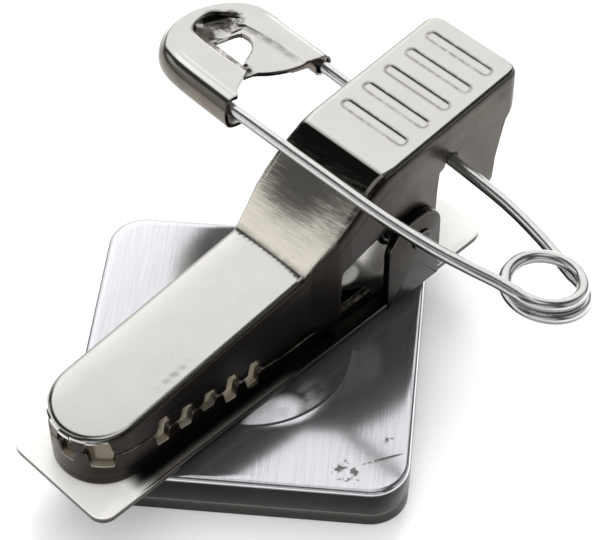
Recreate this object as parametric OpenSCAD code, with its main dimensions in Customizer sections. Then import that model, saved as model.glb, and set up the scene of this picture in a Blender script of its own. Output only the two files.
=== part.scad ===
// Swivel badge clip: a sprung crocodile clip with a safety pin through its
// thumb lever, riveted so that it turns on a square pressed metal base.
// Millimetres. The swivel axis is the Z axis, the base rests on z = 0, and the
// clip's long axis is X, with the tip of the jaws towards +X.

/* [Base] */
// Side of the square base
base_w = 22.5; // [20:0.5:26]
// Corner radius of the base
base_corner = 2.6; // [1:0.1:4]
// Height of the whole base
base_h = 3.6; // [3.2:0.1:4.5]
// Height of the lower layer, below the pressed cover
foot_h = 1.2; // [0.8:0.1:1.5]
// Turn of the base under the clip, in degrees
base_turn = 39.7; // [0:0.1:90]
// Radius of the round dish in the cover
dish_r = 6.7; // [5:0.1:8]
// Depth of the dish at its middle
dish_d = 0.45; // [0.3:0.05:0.5]

/* [Swivel rivet] */
// Radius of the rivet's shank
rivet_r = 1.25; // [1:0.05:1.5]
// Radius of the shoulder that carries the clip
shoulder_r = 2.4; // [2:0.1:3]
// Radius of the rivet's heads
head_r = 2.1; // [1.8:0.1:2.3]

/* [Back plate] */
// Rear end of the back plate
plate_x0 = -18.2; // [-19:0.1:-17]
// Front end of the back plate
plate_x1 = 17.2; // [16.8:0.1:19]
// Width of the back plate
plate_w = 9.1; // [8.8:0.1:10]
// Thickness of the sheet of the back plate
plate_t = 0.6; // [0.5:0.05:0.7]
// Height of the back plate's underside
plate_z = 4.35; // [4.2:0.05:4.6]
// Rear edge of the two hinge ears
ear_x0 = -13.3; // [-13.6:0.1:-13.2]
// Front edge of the two hinge ears
ear_x1 = -8.3; // [-8.6:0.1:-8.2]
// Height of the top of the ears
ear_top = 11.5; // [11.2:0.1:11.6]

/* [Jaws] */
// Half of the width of the jaws
jaw_hw = 3.3; // [3.1:0.05:3.5]
// Centre of the round tip of the jaws, along X
tip_x = 13.0; // [12.5:0.1:13.5]
// Thickness of the sheet of the jaws
sheet = 0.5; // [0.4:0.05:0.6]
// Spacing of the teeth along the sides
tooth_pitch = 1.95; // [1.85:0.01:2.05]
// Depth of each notch between the teeth
tooth_d = 1.1; // [0.8:0.05:1.2]
// Height of the line where the jaws meet, above the swivel
part_z = 5.75; // [5.6:0.05:5.9]
// Slope of that line, in degrees
part_a = 9.1; // [8:0.1:10]

/* [Thumb lever] */
// Half of the width of the thumb pad
pad_hw = 3.95; // [3.7:0.05:3.95]
// Place of the crease between jaw and neck, along X
crease_x = -1.74; // [-2:0.02:-1.5]
// Height of the crease
crease_z = 11.75; // [11.6:0.05:11.9]
// Slope of the jaw's top, in degrees
jaw_a = 6.9; // [6:0.1:8]
// Slope of the neck, in degrees
neck_a = 35.5; // [34:0.1:37]
// Slope of the pad, in degrees
pad_a = 5.8; // [5:0.1:7]
// Place of the bend between neck and pad, along X
bend_x = -8.54; // [-8.8:0.02:-8.3]
// Rear end of the pad
pad_x0 = -21.4; // [-22:0.1:-21]
// Length of the pressed grooves
groove_l = 5.6; // [5:0.1:6]
// Width of the pressed grooves
groove_w = 0.7; // [0.5:0.05:0.9]

/* [Hinge] */
// Place of the hinge pin, along X
hinge_x = -11.4; // [-11.5:0.05:-11.2]
// Height of the hinge pin
hinge_z = 9.2; // [9:0.05:9.4]
// Radius of the hinge pin
hinge_r = 0.6; // [0.5:0.05:0.7]
// Outer radius of the spring's coil
spring_r = 1.9; // [1.6:0.05:2]

/* [Safety pin] */
// Diameter of the pin's wire
wire_d = 0.85; // [0.8:0.01:0.9]
// Mean radius of the pin's coil
coil_r = 2.55; // [2.4:0.05:2.7]
// Tilt of the pin, its needle side up, in degrees
pin_tilt = 12; // [12:0.5:14]
// Turn of the pin in the slots of the lever, in degrees
pin_yaw = 2.6; // [0:0.1:3]
// Radius of the round head of the cap
cap_r = 4.85; // [4.6:0.05:5]
// Thickness of the cap's sheet
cap_t = 0.35; // [0.3:0.01:0.4]

/* [Hidden] */
$fn = 48;

fit = 0.05;               // running fits and the seams between stacked sheets
far = 60;                 // larger than the whole object
wall = 0.8;               // wall of the pressed cover
roof_t = 0.6;             // cover's sheet under the dish
roof_z = base_h - dish_d - roof_t;
plate_top = plate_z + plate_t;
floor_z = plate_top + fit;
floor_top = floor_z + sheet;
ear_in = pad_hw + 0.1;    // inner face of an ear
wire_r = wire_d / 2;
lobe_r = 2.05;            // lobes of the lever round the hinge pin

// The lever's side view, worked out from its slopes
bend_z = crease_z + (crease_x - bend_x) * tan(neck_a);
function jaw_top(x) = crease_z + (crease_x - x) * tan(jaw_a);
function pad_top(x) = bend_z + (bend_x - x) * tan(pad_a);
function part_line(x) = part_z + x * tan(part_a);

// A corner of the sheet's underside: the corner p of the top, between slopes
// a and b, moved down square to both by t
function under(p, a, b, t) =
    [p[0] - t * sin((a + b) / 2) / cos((a - b) / 2),
     p[1] - t * cos((a + b) / 2) / cos((a - b) / 2)];

// A flat rectangle with round corners
module round_rect(x0, x1, y0, y1, r) {
    translate([x0 + r, y0]) square([x1 - x0 - 2 * r, y1 - y0]);
    translate([x0, y0 + r]) square([x1 - x0, y1 - y0 - 2 * r]);
    for (x = [x0 + r, x1 - r])
        for (y = [y0 + r, y1 - r])
            translate([x, y]) circle(r);
}

// A block on the turned square of the base, inset from its edge
module base_block(inset, z0, z1) {
    h = base_w / 2 - inset;
    rotate([0, 0, base_turn])
        translate([0, 0, z0])
            linear_extrude(z1 - z0)
                round_rect(-h, h, -h, h, base_corner - inset);
}

// The lower layer, with the plug that fills the cover and the rivet's pocket
module base_core() {
    color("dimgray")
        difference() {
            union() {
                base_block(0.05, 0, foot_h);
                base_block(wall + fit, foot_h - 0.1, roof_z - fit);
            }
            translate([0, 0, roof_z - 1.1]) cylinder(h = 2, r = head_r + 0.4);
        }
}

// The pressed cover with its dish
module base_cover() {
    ball_r = (dish_r * dish_r + dish_d * dish_d) / (2 * dish_d);
    color("lightsteelblue")
        difference() {
            base_block(0, foot_h + fit, base_h);
            base_block(wall, foot_h, roof_z);
            translate([0, 0, base_h - dish_d + ball_r]) sphere(ball_r, $fn = 96);
            cylinder(h = far, r = rivet_r + fit);
        }
}

// The rivet that the clip turns on: heads at both ends and a shoulder between
module swivel_rivet() {
    shoulder_z = base_h - dish_d + 0.12;
    color("silver") {
        translate([0, 0, roof_z - 0.65]) cylinder(h = 0.6, r = head_r);
        translate([0, 0, roof_z - 0.4]) cylinder(h = floor_top + 0.5 - roof_z, r = rivet_r);
        translate([0, 0, shoulder_z]) cylinder(h = plate_z - fit - shoulder_z, r = shoulder_r);
        translate([0, 0, floor_top + fit]) cylinder(h = 0.45, r = head_r);
    }
}

// The thin plate along the back, with two ears bent up for the hinge
module back_plate() {
    ear_out = ear_in + plate_t;
    color("gainsboro")
        difference() {
            union() {
                translate([0, 0, plate_z])
                    linear_extrude(plate_t)
                        round_rect(plate_x0, plate_x1, -plate_w / 2, plate_w / 2, 1.1);
                translate([ear_x0, -ear_out, plate_z])
                    cube([ear_x1 - ear_x0, 2 * ear_out, plate_t]);
                for (side = [-1, 1])
                    translate([0, side * (ear_in + ear_out) / 2 + plate_t / 2, 0])
                        rotate([90, 0, 0])
                            linear_extrude(plate_t) ear_outline();
            }
            cylinder(h = far, r = rivet_r + fit);
            translate([hinge_x, far / 2, hinge_z])
                rotate([90, 0, 0])
                    cylinder(h = far, r = hinge_r + fit);
        }
}

// Side view of one ear, its top rounded to the radius r0 behind and r1 in front
module ear_outline() {
    r0 = 1.9;
    r1 = 2.2;
    translate([ear_x0, plate_z]) square([r0, ear_top - r0 - plate_z]);
    translate([ear_x1 - r1, plate_z]) square([r1, ear_top - r1 - plate_z]);
    translate([ear_x0 + r0, plate_z]) square([ear_x1 - ear_x0 - r0 - r1, ear_top - plate_z]);
    translate([ear_x0 + r0, ear_top - r0]) circle(r0);
    translate([ear_x1 - r1, ear_top - r1]) circle(r1);
}

// Plan of a jaw: a straight channel with a round tip, inset by t
module jaw_plan(x0, t) {
    translate([x0, t - jaw_hw]) square([tip_x - x0, 2 * (jaw_hw - t)]);
    translate([tip_x, 0]) circle(jaw_hw - t);
}

// Places of the notches along the straight sides, and their turns round the tip
notch_x = [for (i = [0:4]) tip_x - 2.1 - i * tooth_pitch];
notch_turn = [for (i = [-2:2]) 8 + i * 36];

// One notch as seen from the side, its mouth on z = 0 and its root at z = tooth_d
module notch_outline() {
    polygon([[-0.68, -0.6], [-0.68, 0.1], [-0.42, tooth_d], [0.42, tooth_d], [0.68, 0.1], [0.68, -0.6]]);
}

// All notches of one jaw, for cutting: way is 1 for the upper and -1 for the lower
module notches(way, shift) {
    for (x = notch_x)
        translate([x + shift, far / 2, part_line(x + shift)])
            rotate([90, 0, 0])
                linear_extrude(far)
                    rotate(part_a) mirror([0, (1 - way) / 2]) notch_outline();
    for (a = notch_turn)
        translate([tip_x, 0, part_line(tip_x + (jaw_hw - sheet / 2) * cos(a))])
            rotate([90, 0, a + 90])
                linear_extrude(far)
                    mirror([0, (1 - way) / 2]) notch_outline();
}

// The lower jaw: a toothed tray on the back plate
module lower_jaw() {
    rear = -4.4;
    color("silver")
        difference() {
            translate([0, 0, floor_z])
                linear_extrude(6)
                    jaw_plan(rear, 0);
            translate([0, 0, floor_top])
                linear_extrude(far)
                    translate([-1, 0]) jaw_plan(rear, sheet);
            translate([0, 0, part_z - 0.04])
                rotate([0, -part_a, 0])
                    translate([0, -far / 2, 0])
                        cube([far, far, far]);
            translate([-far, -far / 2, part_z - 0.04]) cube([far, far, far]);
            notches(-1, 0.25);
            cylinder(h = far, r = rivet_r + fit);
        }
}

// The hinge pin through the ears, with its two riveted heads
module hinge_pin() {
    out = ear_in + plate_t;
    color("darkgray")
        translate([hinge_x, 0, hinge_z])
            rotate([90, 0, 0]) {
                cylinder(h = 2 * out + 0.4, r = hinge_r, center = true);
                for (side = [-1, 1])
                    translate([0, 0, side * (out + 0.14)])
                        cylinder(h = 0.18, r = 0.85, center = true);
            }
}

// The closing spring: a coil round the hinge pin, one leg under the pad and
// one on the back plate. Its ridged side stands for the turns of wire.
module spring() {
    wire = 0.6;
    turns = 9;
    mean_r = spring_r - wire / 2;
    half_l = turns * wire / 2;
    outer = [for (i = [0:2 * turns])
        [mean_r + (i % 2 == 1 ? wire / 2 : 0.1), i * wire / 2 - half_l]];
    inner = [for (i = [0:2 * turns])
        [mean_r - (i % 2 == 1 ? wire / 2 : 0.1), half_l - i * wire / 2]];
    leg_x = hinge_x - mean_r;
    color("gray") {
        translate([hinge_x, 0, hinge_z])
            rotate([90, 0, 0])
                rotate_extrude()
                    polygon(concat(outer, inner));
        translate([leg_x, half_l - 0.35, hinge_z])
            cylinder(h = pad_top(leg_x) - sheet - 0.15 - hinge_z, r = 0.28);
        translate([hinge_x, 0.35 - half_l, hinge_z - mean_r])
            rotate([0, -140, 0])
                cylinder(h = 2.9, r = 0.28);
    }
}

// Side view of the whole lever, filled
module lever_outline() {
    polygon([
        [17, jaw_top(17)], [crease_x, crease_z], [bend_x, bend_z], [pad_x0, pad_top(pad_x0)],
        [pad_x0, 16.4], [-20.9, 14.7], [-20.1, 13.8], [-19.7, 12.3], [-19.3, 10.6],
        [-19.2, 8.9], [-18.7, 8.4], [-18.2, 8.8], [-15.65, 12.65], [-15.65, 13.7],
        [-13.55, 13.7], [hinge_x - lobe_r, 11.3], [hinge_x - lobe_r, hinge_z],
        [hinge_x + lobe_r, hinge_z], [hinge_x + lobe_r, 11.4], [-8.3, 11.45],
        [-7.0, 11.15], [-6.0, 10.85], [-4.9, 10.5], [-4.6, 10.2],
        [-4.5, part_z + 0.04], [0, part_z + 0.04], [17, part_line(17) + 0.04]]);
    translate([hinge_x, hinge_z]) circle(lobe_r);
}

// Plan of the lever, inset by t at its sides; open adds length at the rear
module lever_plan(t, open) {
    r = open > 0 ? 0.01 : 1.1;
    jaw_plan(crease_x, t);
    polygon([[crease_x + 0.01, t - jaw_hw], [crease_x + 0.01, jaw_hw - t],
        [-7.1, pad_hw - t], [-7.1, t - pad_hw]]);
    round_rect(pad_x0 - open, -7.1 + r + 0.01, t - pad_hw, pad_hw - t, r);
    translate([-9, t - pad_hw]) square([1.91, 2 * (pad_hw - t)]);
}

// The toothed upper jaw, the neck and the thumb pad: one pressed piece
module upper_lever() {
    c = under([crease_x, crease_z], jaw_a, neck_a, sheet);
    b = under([bend_x, bend_z], neck_a, pad_a, sheet);
    color("gainsboro")
        difference() {
            intersection() {
                translate([0, far / 2, 0])
                    rotate([90, 0, 0])
                        linear_extrude(far) lever_outline();
                linear_extrude(far) lever_plan(0, 0);
            }
            intersection() {
                translate([0, far / 2, 0])
                    rotate([90, 0, 0])
                        linear_extrude(far)
                            polygon([[20, c[1] - (20 - c[0]) * tan(jaw_a)], c, b,
                                [-25, b[1] + (b[0] + 25) * tan(pad_a)], [-25, 0], [20, 0]]);
                linear_extrude(far) lever_plan(sheet, 3);
            }
            translate([-14.6, far / 2, 13.7])
                rotate([90, 0, 0])
                    cylinder(h = far, r = 1.05);
            translate([hinge_x, far / 2, hinge_z])
                rotate([90, 0, 0])
                    cylinder(h = far, r = hinge_r + fit);
            notches(1, 0);
            for (i = [0:4])
                groove(-11.4 - i * 2.02);
        }
}

// One pressed groove across the pad, for cutting
module groove(x) {
    l = groove_l / 2 - groove_w / 2;
    translate([x, 0, pad_top(x) - 0.18])
        rotate([0, pad_a, 0])
            linear_extrude(1) {
                square([groove_w, 2 * l], center = true);
                for (y = [-l, l])
                    translate([0, y]) circle(groove_w / 2, $fn = 24);
            }
}

// Places its children in the pin's own frame: the fixed arm on the Y axis, the
// needle towards +X, and Z square to the pin
module pin_frame() {
    translate([-14.8, 0, 13.9])
        rotate([0, -pin_tilt, 0])
            rotate([0, 0, -pin_yaw])
                children();
}

// Middles and mean radii of the coil's two turns, and the height of the upper one
low_c = [4.5, 16.65];
low_r = coil_r;
up_c = [4.75, 16.5];
up_r = coil_r - 0.1;
up_z = wire_d + fit;

// Middle line of the fixed arm, from the cap to the coil
arm_path = [[0, -15.6, 0], [0, 6, 0], [0.8, 12.4, 0], [low_c[0] - low_r, low_c[1], 0]];

// Middle line of the needle, from the coil to where its point begins
needle_path = [[up_c[0] + up_r, up_c[1], up_z], [7.75, 13.4, 0.78], [8.45, 8.4, 0.4],
    [8.75, 0, 0.1], [8.9, -11, 0]];

// A straight round bar between the balls at a and b, narrowing to rb
module bar(a, b, rb) {
    v = b - a;
    l = norm(v);
    translate(a)
        rotate([0, acos(v[2] / l), atan2(v[1], v[0])])
            translate([0, 0, 0.1])
                cylinder(h = l - 0.2, r1 = wire_r, r2 = rb, $fn = 20);
}

// A bent wire along a path, with a ball at each bend
module wire(path) {
    for (i = [0:len(path) - 2])
        bar(path[i], path[i + 1], wire_r);
    for (i = [0:len(path) - 1])
        knee(path[i]);
}

// A ball that closes the bend between two lengths of wire
module knee(p) {
    translate(p) sphere(wire_r + 0.03, $fn = 20);
}

// Part of a turn of wire round c, from angle a0 over sweep degrees, at height z
module turn(c, r, a0, sweep, z) {
    translate([c[0], c[1], z])
        rotate([0, 0, a0 + 2.3])
            rotate_extrude(angle = sweep - 4.6)
                translate([r, 0]) circle(wire_r, $fn = 20);
}

// The pin's wire: fixed arm, two turns of coil, and needle with its point
module pin_wire() {
    link_a = [low_c[0] + low_r * cos(-40), low_c[1] + low_r * sin(-40), 0];
    link_b = [up_c[0] + up_r * cos(-140), up_c[1] + up_r * sin(-140), up_z];
    point = needle_path[len(needle_path) - 1];
    color("silver")
        pin_frame() {
            wire(arm_path);
            turn(low_c, low_r, -40, 220, 0);
            wire([link_a, link_b]);
            turn(up_c, up_r, 0, 220, up_z);
            wire(needle_path);
            bar(point, point + [-0.4, -2.6, 0], 0.06);
        }
}

// Middle of the cap's round head, and the heights of its sheets
cap_c = [4.3, -12.7];
cap_top = 0.55;
cap_low = -1.2;
hood_x = 9.8;

// Plan of the cap's upper sheet: round head, web to the fixed arm, and hood
module cap_plan() {
    translate(cap_c) circle(cap_r);
    polygon([[cap_c[0] - cap_r, cap_c[1]], [cap_c[0] - cap_r, -8.5], [0.9, -8.3], [3.6, -9.0],
        [5.6, -10.0], [6.4, -9.6], [7.4, -8.9], [hood_x, -7.9], [hood_x, -13.4], [cap_c[0], -13.4]]);
}

// The cap: a folded sheet with a hood over the needle's point
module pin_cap() {
    color("gainsboro")
        pin_frame()
            difference() {
                union() {
                    translate([0, 0, cap_top]) linear_extrude(cap_t) cap_plan();
                    // outer wall and lower lip of the hood
                    translate([hood_x - cap_t, -13.4, cap_low]) cube([cap_t, 5.5, cap_top - cap_low + cap_t]);
                    translate([7.4, -14.4, cap_low]) cube([hood_x - 7.4, 6.3, cap_t]);
                    // wall round the head, on the hood's side
                    difference() {
                        translate([cap_c[0], cap_c[1], cap_low]) cylinder(h = cap_top - cap_low + cap_t, r = cap_r);
                        translate([cap_c[0], cap_c[1], cap_low - 1]) cylinder(h = 9, r = cap_r - cap_t);
                        translate([-far + cap_c[0], -far, cap_low - 1]) cube([far, far * 2, far]);
                        translate([0, cap_c[1] - 0.7, cap_low - 1]) cube([far, far, far]);
                    }
                    // sleeve folded round the fixed arm
                    translate([0, -8.5, 0])
                        rotate([90, 0, 0])
                            cylinder(h = 7.2, r = wire_r + fit + 0.2);
                    translate([-0.2, -15.7, 0.2]) cube([1.0, 7.2, 0.5]);
                }
                rotate([90, 0, 0])
                    cylinder(h = far, r = wire_r + fit);
                translate([4.7, -12.5, -9])
                    cylinder(h = 20, r = 1.6);
            }
}

base_core();
base_cover();
swivel_rivet();
back_plate();
lower_jaw();
hinge_pin();
spring();
upper_lever();
pin_wire();
pin_cap();
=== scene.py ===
"""Swivel badge clip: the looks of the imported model, built in its own frame.

The clip is four moving bodies: a square pressed base, the clip that is riveted
to it, the thumb lever with the upper jaw, and the safety pin through the lever.
Sizes are in millimetres in the classes and become metres in the meshes.
"""
import logging
import math
from dataclasses import dataclass, field, replace
from enum import Enum
from typing import Callable, Optional, Sequence

import bmesh
import bpy
import numpy as np
from mathutils import Matrix, Vector


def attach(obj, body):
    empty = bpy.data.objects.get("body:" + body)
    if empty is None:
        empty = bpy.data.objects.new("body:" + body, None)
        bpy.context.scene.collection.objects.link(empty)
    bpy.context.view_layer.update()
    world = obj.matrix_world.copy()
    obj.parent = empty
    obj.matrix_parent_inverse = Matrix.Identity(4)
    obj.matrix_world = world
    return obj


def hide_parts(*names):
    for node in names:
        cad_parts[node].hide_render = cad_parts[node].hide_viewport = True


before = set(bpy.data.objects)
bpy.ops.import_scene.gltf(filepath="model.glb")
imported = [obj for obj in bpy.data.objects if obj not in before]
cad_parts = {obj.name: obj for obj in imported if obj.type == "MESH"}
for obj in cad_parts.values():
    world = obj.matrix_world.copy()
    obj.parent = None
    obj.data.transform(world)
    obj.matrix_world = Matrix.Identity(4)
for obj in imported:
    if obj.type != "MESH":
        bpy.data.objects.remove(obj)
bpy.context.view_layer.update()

LOG = logging.getLogger("badge_clip")
MM = 0.001           # metres in a millimetre
WELD = 2e-7          # points nearer than this, in metres, become one
SLIVER = 1e-7        # edges shorter than this, in metres, are dissolved
CRISP = 42.0         # edges that turn by more degrees than this stay sharp
# A point counts as a side by these numbers, and sides take a colour of painted shade.
SIDE_BLEND = 0.34    # change of cosine over which a top turns into a side
FLANK = 0.72         # sideways cosine from which a rim counts fully as a side
FLANK_BLEND = 0.3    # change of that cosine down to a top
RIM_EASE = 0.09      # rounding of a pressed wall's free rim
PROUD = 0.015        # swelling of a pressed wall under its rolled edge
SHOULDER = 0.8       # height over which the wall swells
INNER_EASE = 0.12    # rounding inside a pressed edge

Pair = tuple[float, float]
Triple = tuple[float, float, float]
Extent = float | np.ndarray


# Surfaces: points on grids and rings, and the mesh objects made of them.

def ease(share: Extent) -> Extent:
    """Hold a share u between 0 and 1 and soften its ends: u u (3 - 2 u)."""
    u = np.clip(share, 0, 1)
    return u * u * (3 - 2 * u)


@dataclass(frozen=True)
class Surface:
    """Points in millimetres, the quads and triangles that join them, and two marks a point.

    The mark inner is 1 on the hidden face of a sheet, and the other mark is a share of soil and painted shade.
    """

    points: np.ndarray
    quads: np.ndarray
    tris: np.ndarray = field(default_factory=lambda: np.zeros((0, 3), int))
    inner: Optional[np.ndarray] = None
    grime_and_shade: Optional[np.ndarray] = None

    def marks(self, label: str) -> np.ndarray:
        """Read a mark by its name, as zeros where it is left out."""
        values = getattr(self, label)
        return np.zeros(len(self.points)) if values is None else values


def grid_quads(rows: int, cols: int, wrap_cols: bool, wrap_rows: bool = False) -> np.ndarray:
    """Index the quads of a grid whose point (i, j) is number i * cols + j.

    Args:
        rows: number of rows.
        cols: number of columns.
        wrap_cols: join the last column to the first.
        wrap_rows: join the last row to the first.

    Returns:
        An array of four point numbers a quad.
    """
    i = np.arange(rows if wrap_rows else rows - 1)[:, None]
    j = np.arange(cols if wrap_cols else cols - 1)[None, :]
    i2, j2 = (i + 1) % rows, (j + 1) % cols
    corners = np.broadcast_arrays(i * cols + j, i * cols + j2, i2 * cols + j2, i2 * cols + j)
    return np.stack(corners, axis=-1).reshape(-1, 4)


def skin(rings: np.ndarray, capped: bool = True, loop: bool = False) -> Surface:
    """Stretch a skin over closed rings of points; a cap is a fan to the mean of its end ring.

    Args:
        rings: array of shape (rings, points a ring, 3).
        capped: whether the first and the last ring are closed by caps.
        loop: whether the last ring joins the first, which leaves no room for caps.

    Returns:
        The surface.
    """
    m, n, _ = rings.shape
    points, tris, j = rings.reshape(-1, 3), np.zeros((0, 3), int), np.arange(n)
    for end in (0, m - 1) if capped and not loop else ():
        centre = len(points)
        points = np.vstack([points, rings[end].mean(axis=0)])
        a, b = end * n + j, end * n + (j + 1) % n
        fan = (b, a) if end == 0 else (a, b)
        tris = np.vstack([tris, np.stack([np.full(n, centre), *fan], axis=-1)])
    return Surface(points, grid_quads(m, n, True, loop), tris)


def lathe(profile: Sequence[Pair], sides: int = 96) -> Surface:
    """Turn a profile round the Z axis: a point is (r cos t, r sin t, z).

    Args:
        profile: pairs of radius and height, from the lower pole to the upper one.
        sides: points round the axis.

    Returns:
        The closed surface.
    """
    r, z = np.asarray(profile, float).T
    t = np.linspace(0, 2 * np.pi, sides, endpoint=False)
    rings = np.stack([r[:, None] * np.cos(t), r[:, None] * np.sin(t),
                      np.broadcast_to(z[:, None], (len(r), sides))], axis=-1)
    return skin(rings)


def tube(path: np.ndarray, radius: np.ndarray, across: Sequence[float], sides: int) -> Surface:
    """Carry a circle along a path: p + r (cos t * u + sin t * v), u and v square to the path.

    Args:
        path: the middle line, shape (n, 3).
        radius: the wire's radius at each point.
        across: a direction that the path never follows, from which u is found.
        sides: points round the wire.

    Returns:
        The closed tube with a fan at each end.
    """
    tangent = np.gradient(path, axis=0)
    tangent /= np.linalg.norm(tangent, axis=1)[:, None]
    u = np.cross(tangent, np.asarray(across, float))
    u /= np.linalg.norm(u, axis=1)[:, None]
    v = np.cross(tangent, u)
    t = np.linspace(0, 2 * np.pi, sides, endpoint=False)[None, :, None]
    r = np.broadcast_to(radius, len(path))[:, None, None]
    rings = path[:, None] + r * (np.cos(t) * u[:, None] + np.sin(t) * v[:, None])
    return skin(rings)


def slab(outer: np.ndarray, thickness: float) -> Surface:
    """Give a grid of points a thickness: each point p gets a twin p - t n, n its normal.

    The normal is the cross product of the grid's two slopes. Four strips join the
    borders of the two skins.

    Args:
        outer: the outer face, shape (rows, columns, 3), its normals facing outward.
        thickness: distance between the two faces.

    Returns:
        The closed sheet.
    """
    rows, cols, _ = outer.shape
    n = np.cross(np.gradient(outer, axis=0), np.gradient(outer, axis=1))
    n /= np.maximum(np.linalg.norm(n, axis=2), 1e-9)[..., None]
    points = np.concatenate([outer.reshape(-1, 3), (outer - thickness * n).reshape(-1, 3)])
    number = np.arange(rows * cols).reshape(rows, cols)
    edge = np.concatenate([number[0, :-1], number[:-1, -1], number[-1, :0:-1], number[:0:-1, 0]])
    after = np.roll(edge, -1)
    face = grid_quads(rows, cols, False)
    rim = np.stack([edge, after, after + rows * cols, edge + rows * cols], axis=-1)
    return Surface(points, np.concatenate([face, face[:, ::-1] + rows * cols, rim]))


def smooth_path(knots: Sequence[Sequence[float]], count: int) -> np.ndarray:
    """Draw a smooth line through knots with cubic pieces (Catmull-Rom tangents).

    Args:
        knots: the points to pass through.
        count: points on the finished line, evenly spaced along the straight lines between knots.

    Returns:
        An array of shape (count, 3).
    """
    p = np.asarray(knots, float)
    d = np.concatenate([[0.0], np.cumsum(np.linalg.norm(np.diff(p, axis=0), axis=1))])
    m = np.gradient(p, d, axis=0)
    s = np.linspace(0, d[-1], count)
    k = np.clip(np.searchsorted(d, s, side="right") - 1, 0, len(p) - 2)
    h = (d[k + 1] - d[k])[:, None]
    u = ((s - d[k]) / (d[k + 1] - d[k]))[:, None]
    return ((2 * u**3 - 3 * u**2 + 1) * p[k] + (u**3 - 2 * u**2 + u) * h * m[k]
            + (3 * u**2 - 2 * u**3) * p[k + 1] + (u**3 - u**2) * h * m[k + 1])


def add_object(name: str, data: bpy.types.ID) -> bpy.types.Object:
    """Make an object of a mesh, light or camera and link it to the scene.

    Args:
        name: the object's name.
        data: what the object shows.

    Returns:
        The new object, at the origin.
    """
    item = bpy.data.objects.new(name, data)
    bpy.context.scene.collection.objects.link(item)
    return item


def mark(mesh: bpy.types.Mesh, name: str, values: np.ndarray) -> None:
    """Keep one number a point as an attribute of the mesh."""
    numbers = mesh.attributes.new(name, "FLOAT", "POINT")
    numbers.data.foreach_set("value", values.astype(np.float32))


def side_share(mesh: bpy.types.Mesh, up: Triple, steep: float, rim: bool) -> np.ndarray:
    """Find how far each point is on a side: 0 on a top, 1 on a side.

    It is 1 less the eased (c - steep) / SIDE_BLEND, c the cosine between normal and
    up. For a rim the eased number is at most (FLANK - |normal's y|) / FLANK_BLEND.

    Args:
        mesh: the finished mesh.
        up: the direction that the piece's tops face.
        steep: cosine below which a face counts fully as a side.
        rim: whether edges that lean to either flank of the clip count as sides too.

    Returns:
        One share a point.
    """
    normals = np.empty(len(mesh.vertices) * 3, dtype=np.float32)
    mesh.vertex_normals.foreach_get("vector", normals)
    normals = normals.reshape(-1, 3)
    facing = (normals @ np.array(up) - steep) / SIDE_BLEND
    if rim:
        facing = np.minimum(facing, (FLANK - np.abs(normals[:, 1])) / FLANK_BLEND)
    return 1 - ease(facing)


def make_piece(name: str, surfaces: Sequence[Surface], up: Triple = (0.0, 0.0, 1.0), steep: float = 0.12,
               rim: bool = False) -> bpy.types.Object:
    """Put surfaces into one mesh object at the origin, doubles merged and faces outward.

    Args:
        name: the object's name.
        surfaces: the closed surfaces, in millimetres.
        up, steep, rim: as for side_share, which gives the attribute "side".

    Returns:
        The new object.
    """
    points, faces, start = [], [], 0
    for s in surfaces:
        points.append(s.points)
        faces += (s.quads + start).tolist() + (s.tris + start).tolist()
        start += len(s.points)
    mesh = bpy.data.meshes.new(name)
    mesh.from_pydata((np.vstack(points) * MM).tolist(), [], faces)
    for label in ("inner", "grime_and_shade"):
        mark(mesh, label, np.concatenate([s.marks(label) for s in surfaces]))
    bm = bmesh.new()
    bm.from_mesh(mesh)
    bmesh.ops.remove_doubles(bm, verts=bm.verts, dist=WELD)
    bmesh.ops.dissolve_degenerate(bm, edges=bm.edges, dist=SLIVER)
    bmesh.ops.recalc_face_normals(bm, faces=bm.faces)
    bm.to_mesh(mesh)
    bm.free()
    mesh.shade_smooth()
    mesh.set_sharp_from_angle(angle=math.radians(CRISP))
    mark(mesh, "side", side_share(mesh, up, steep, rim))
    return add_object(name, mesh)


# Plans: outlines seen from above, and the sheets pressed over them.

@dataclass(frozen=True)
class Plan:
    """A closed outline seen from above, with its outward normals."""

    x: np.ndarray
    y: np.ndarray
    nx: np.ndarray
    ny: np.ndarray

    def inset(self, d: Extent) -> np.ndarray:
        """Move the outline inwards by d and return its points, shape (n, 2)."""
        return np.stack([self.x - d * self.nx, self.y - d * self.ny], axis=-1)


def round_rect(x0: float, x1: float, y0: float, y1: float, radius: "float | tuple",
               side: int, corner: int) -> Plan:
    """Outline a rectangle with round corners, counter-clockwise.

    Args:
        x0, x1, y0, y1: the rectangle.
        radius: corner radius, or four of them from the corner (x1, y1) on.
        side: points on each straight side.
        corner: points on each corner.

    Returns:
        The outline.
    """
    r = np.broadcast_to(np.asarray(radius, float), 4)
    centres = np.array([[x1 - r[0], y1 - r[0]], [x0 + r[1], y1 - r[1]],
                        [x0 + r[2], y0 + r[2]], [x1 - r[3], y0 + r[3]]])
    a = np.linspace(0, np.pi / 2, corner)[None] + np.arange(4)[:, None] * np.pi / 2
    arc = np.stack([np.cos(a), np.sin(a)], axis=-1)
    points = centres[:, None] + r[:, None, None] * arc
    nxt = np.roll(points[:, 0], -1, axis=0)
    u = (np.arange(1, side + 1) / (side + 1))[None, :, None]
    straight = points[:, -1][:, None] * (1 - u) + nxt[:, None] * u
    normals = np.broadcast_to(arc[:, -1][:, None], straight.shape)
    p = np.concatenate([points, straight], axis=1).reshape(-1, 2)
    n = np.concatenate([arc, normals], axis=1).reshape(-1, 2)
    return Plan(p[:, 0], p[:, 1], n[:, 0], n[:, 1])


def turned(points: np.ndarray, degrees: float) -> np.ndarray:
    """Turn points about Z: (x cos t - y sin t, x sin t + y cos t).

    Args:
        points: array of shape (..., 2 or 3).
        degrees: the angle t.

    Returns:
        The turned points.
    """
    c, s = math.cos(math.radians(degrees)), math.sin(math.radians(degrees))
    out = points.copy()
    out[..., 0] = c * points[..., 0] - s * points[..., 1]
    out[..., 1] = s * points[..., 0] + c * points[..., 1]
    return out


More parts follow.
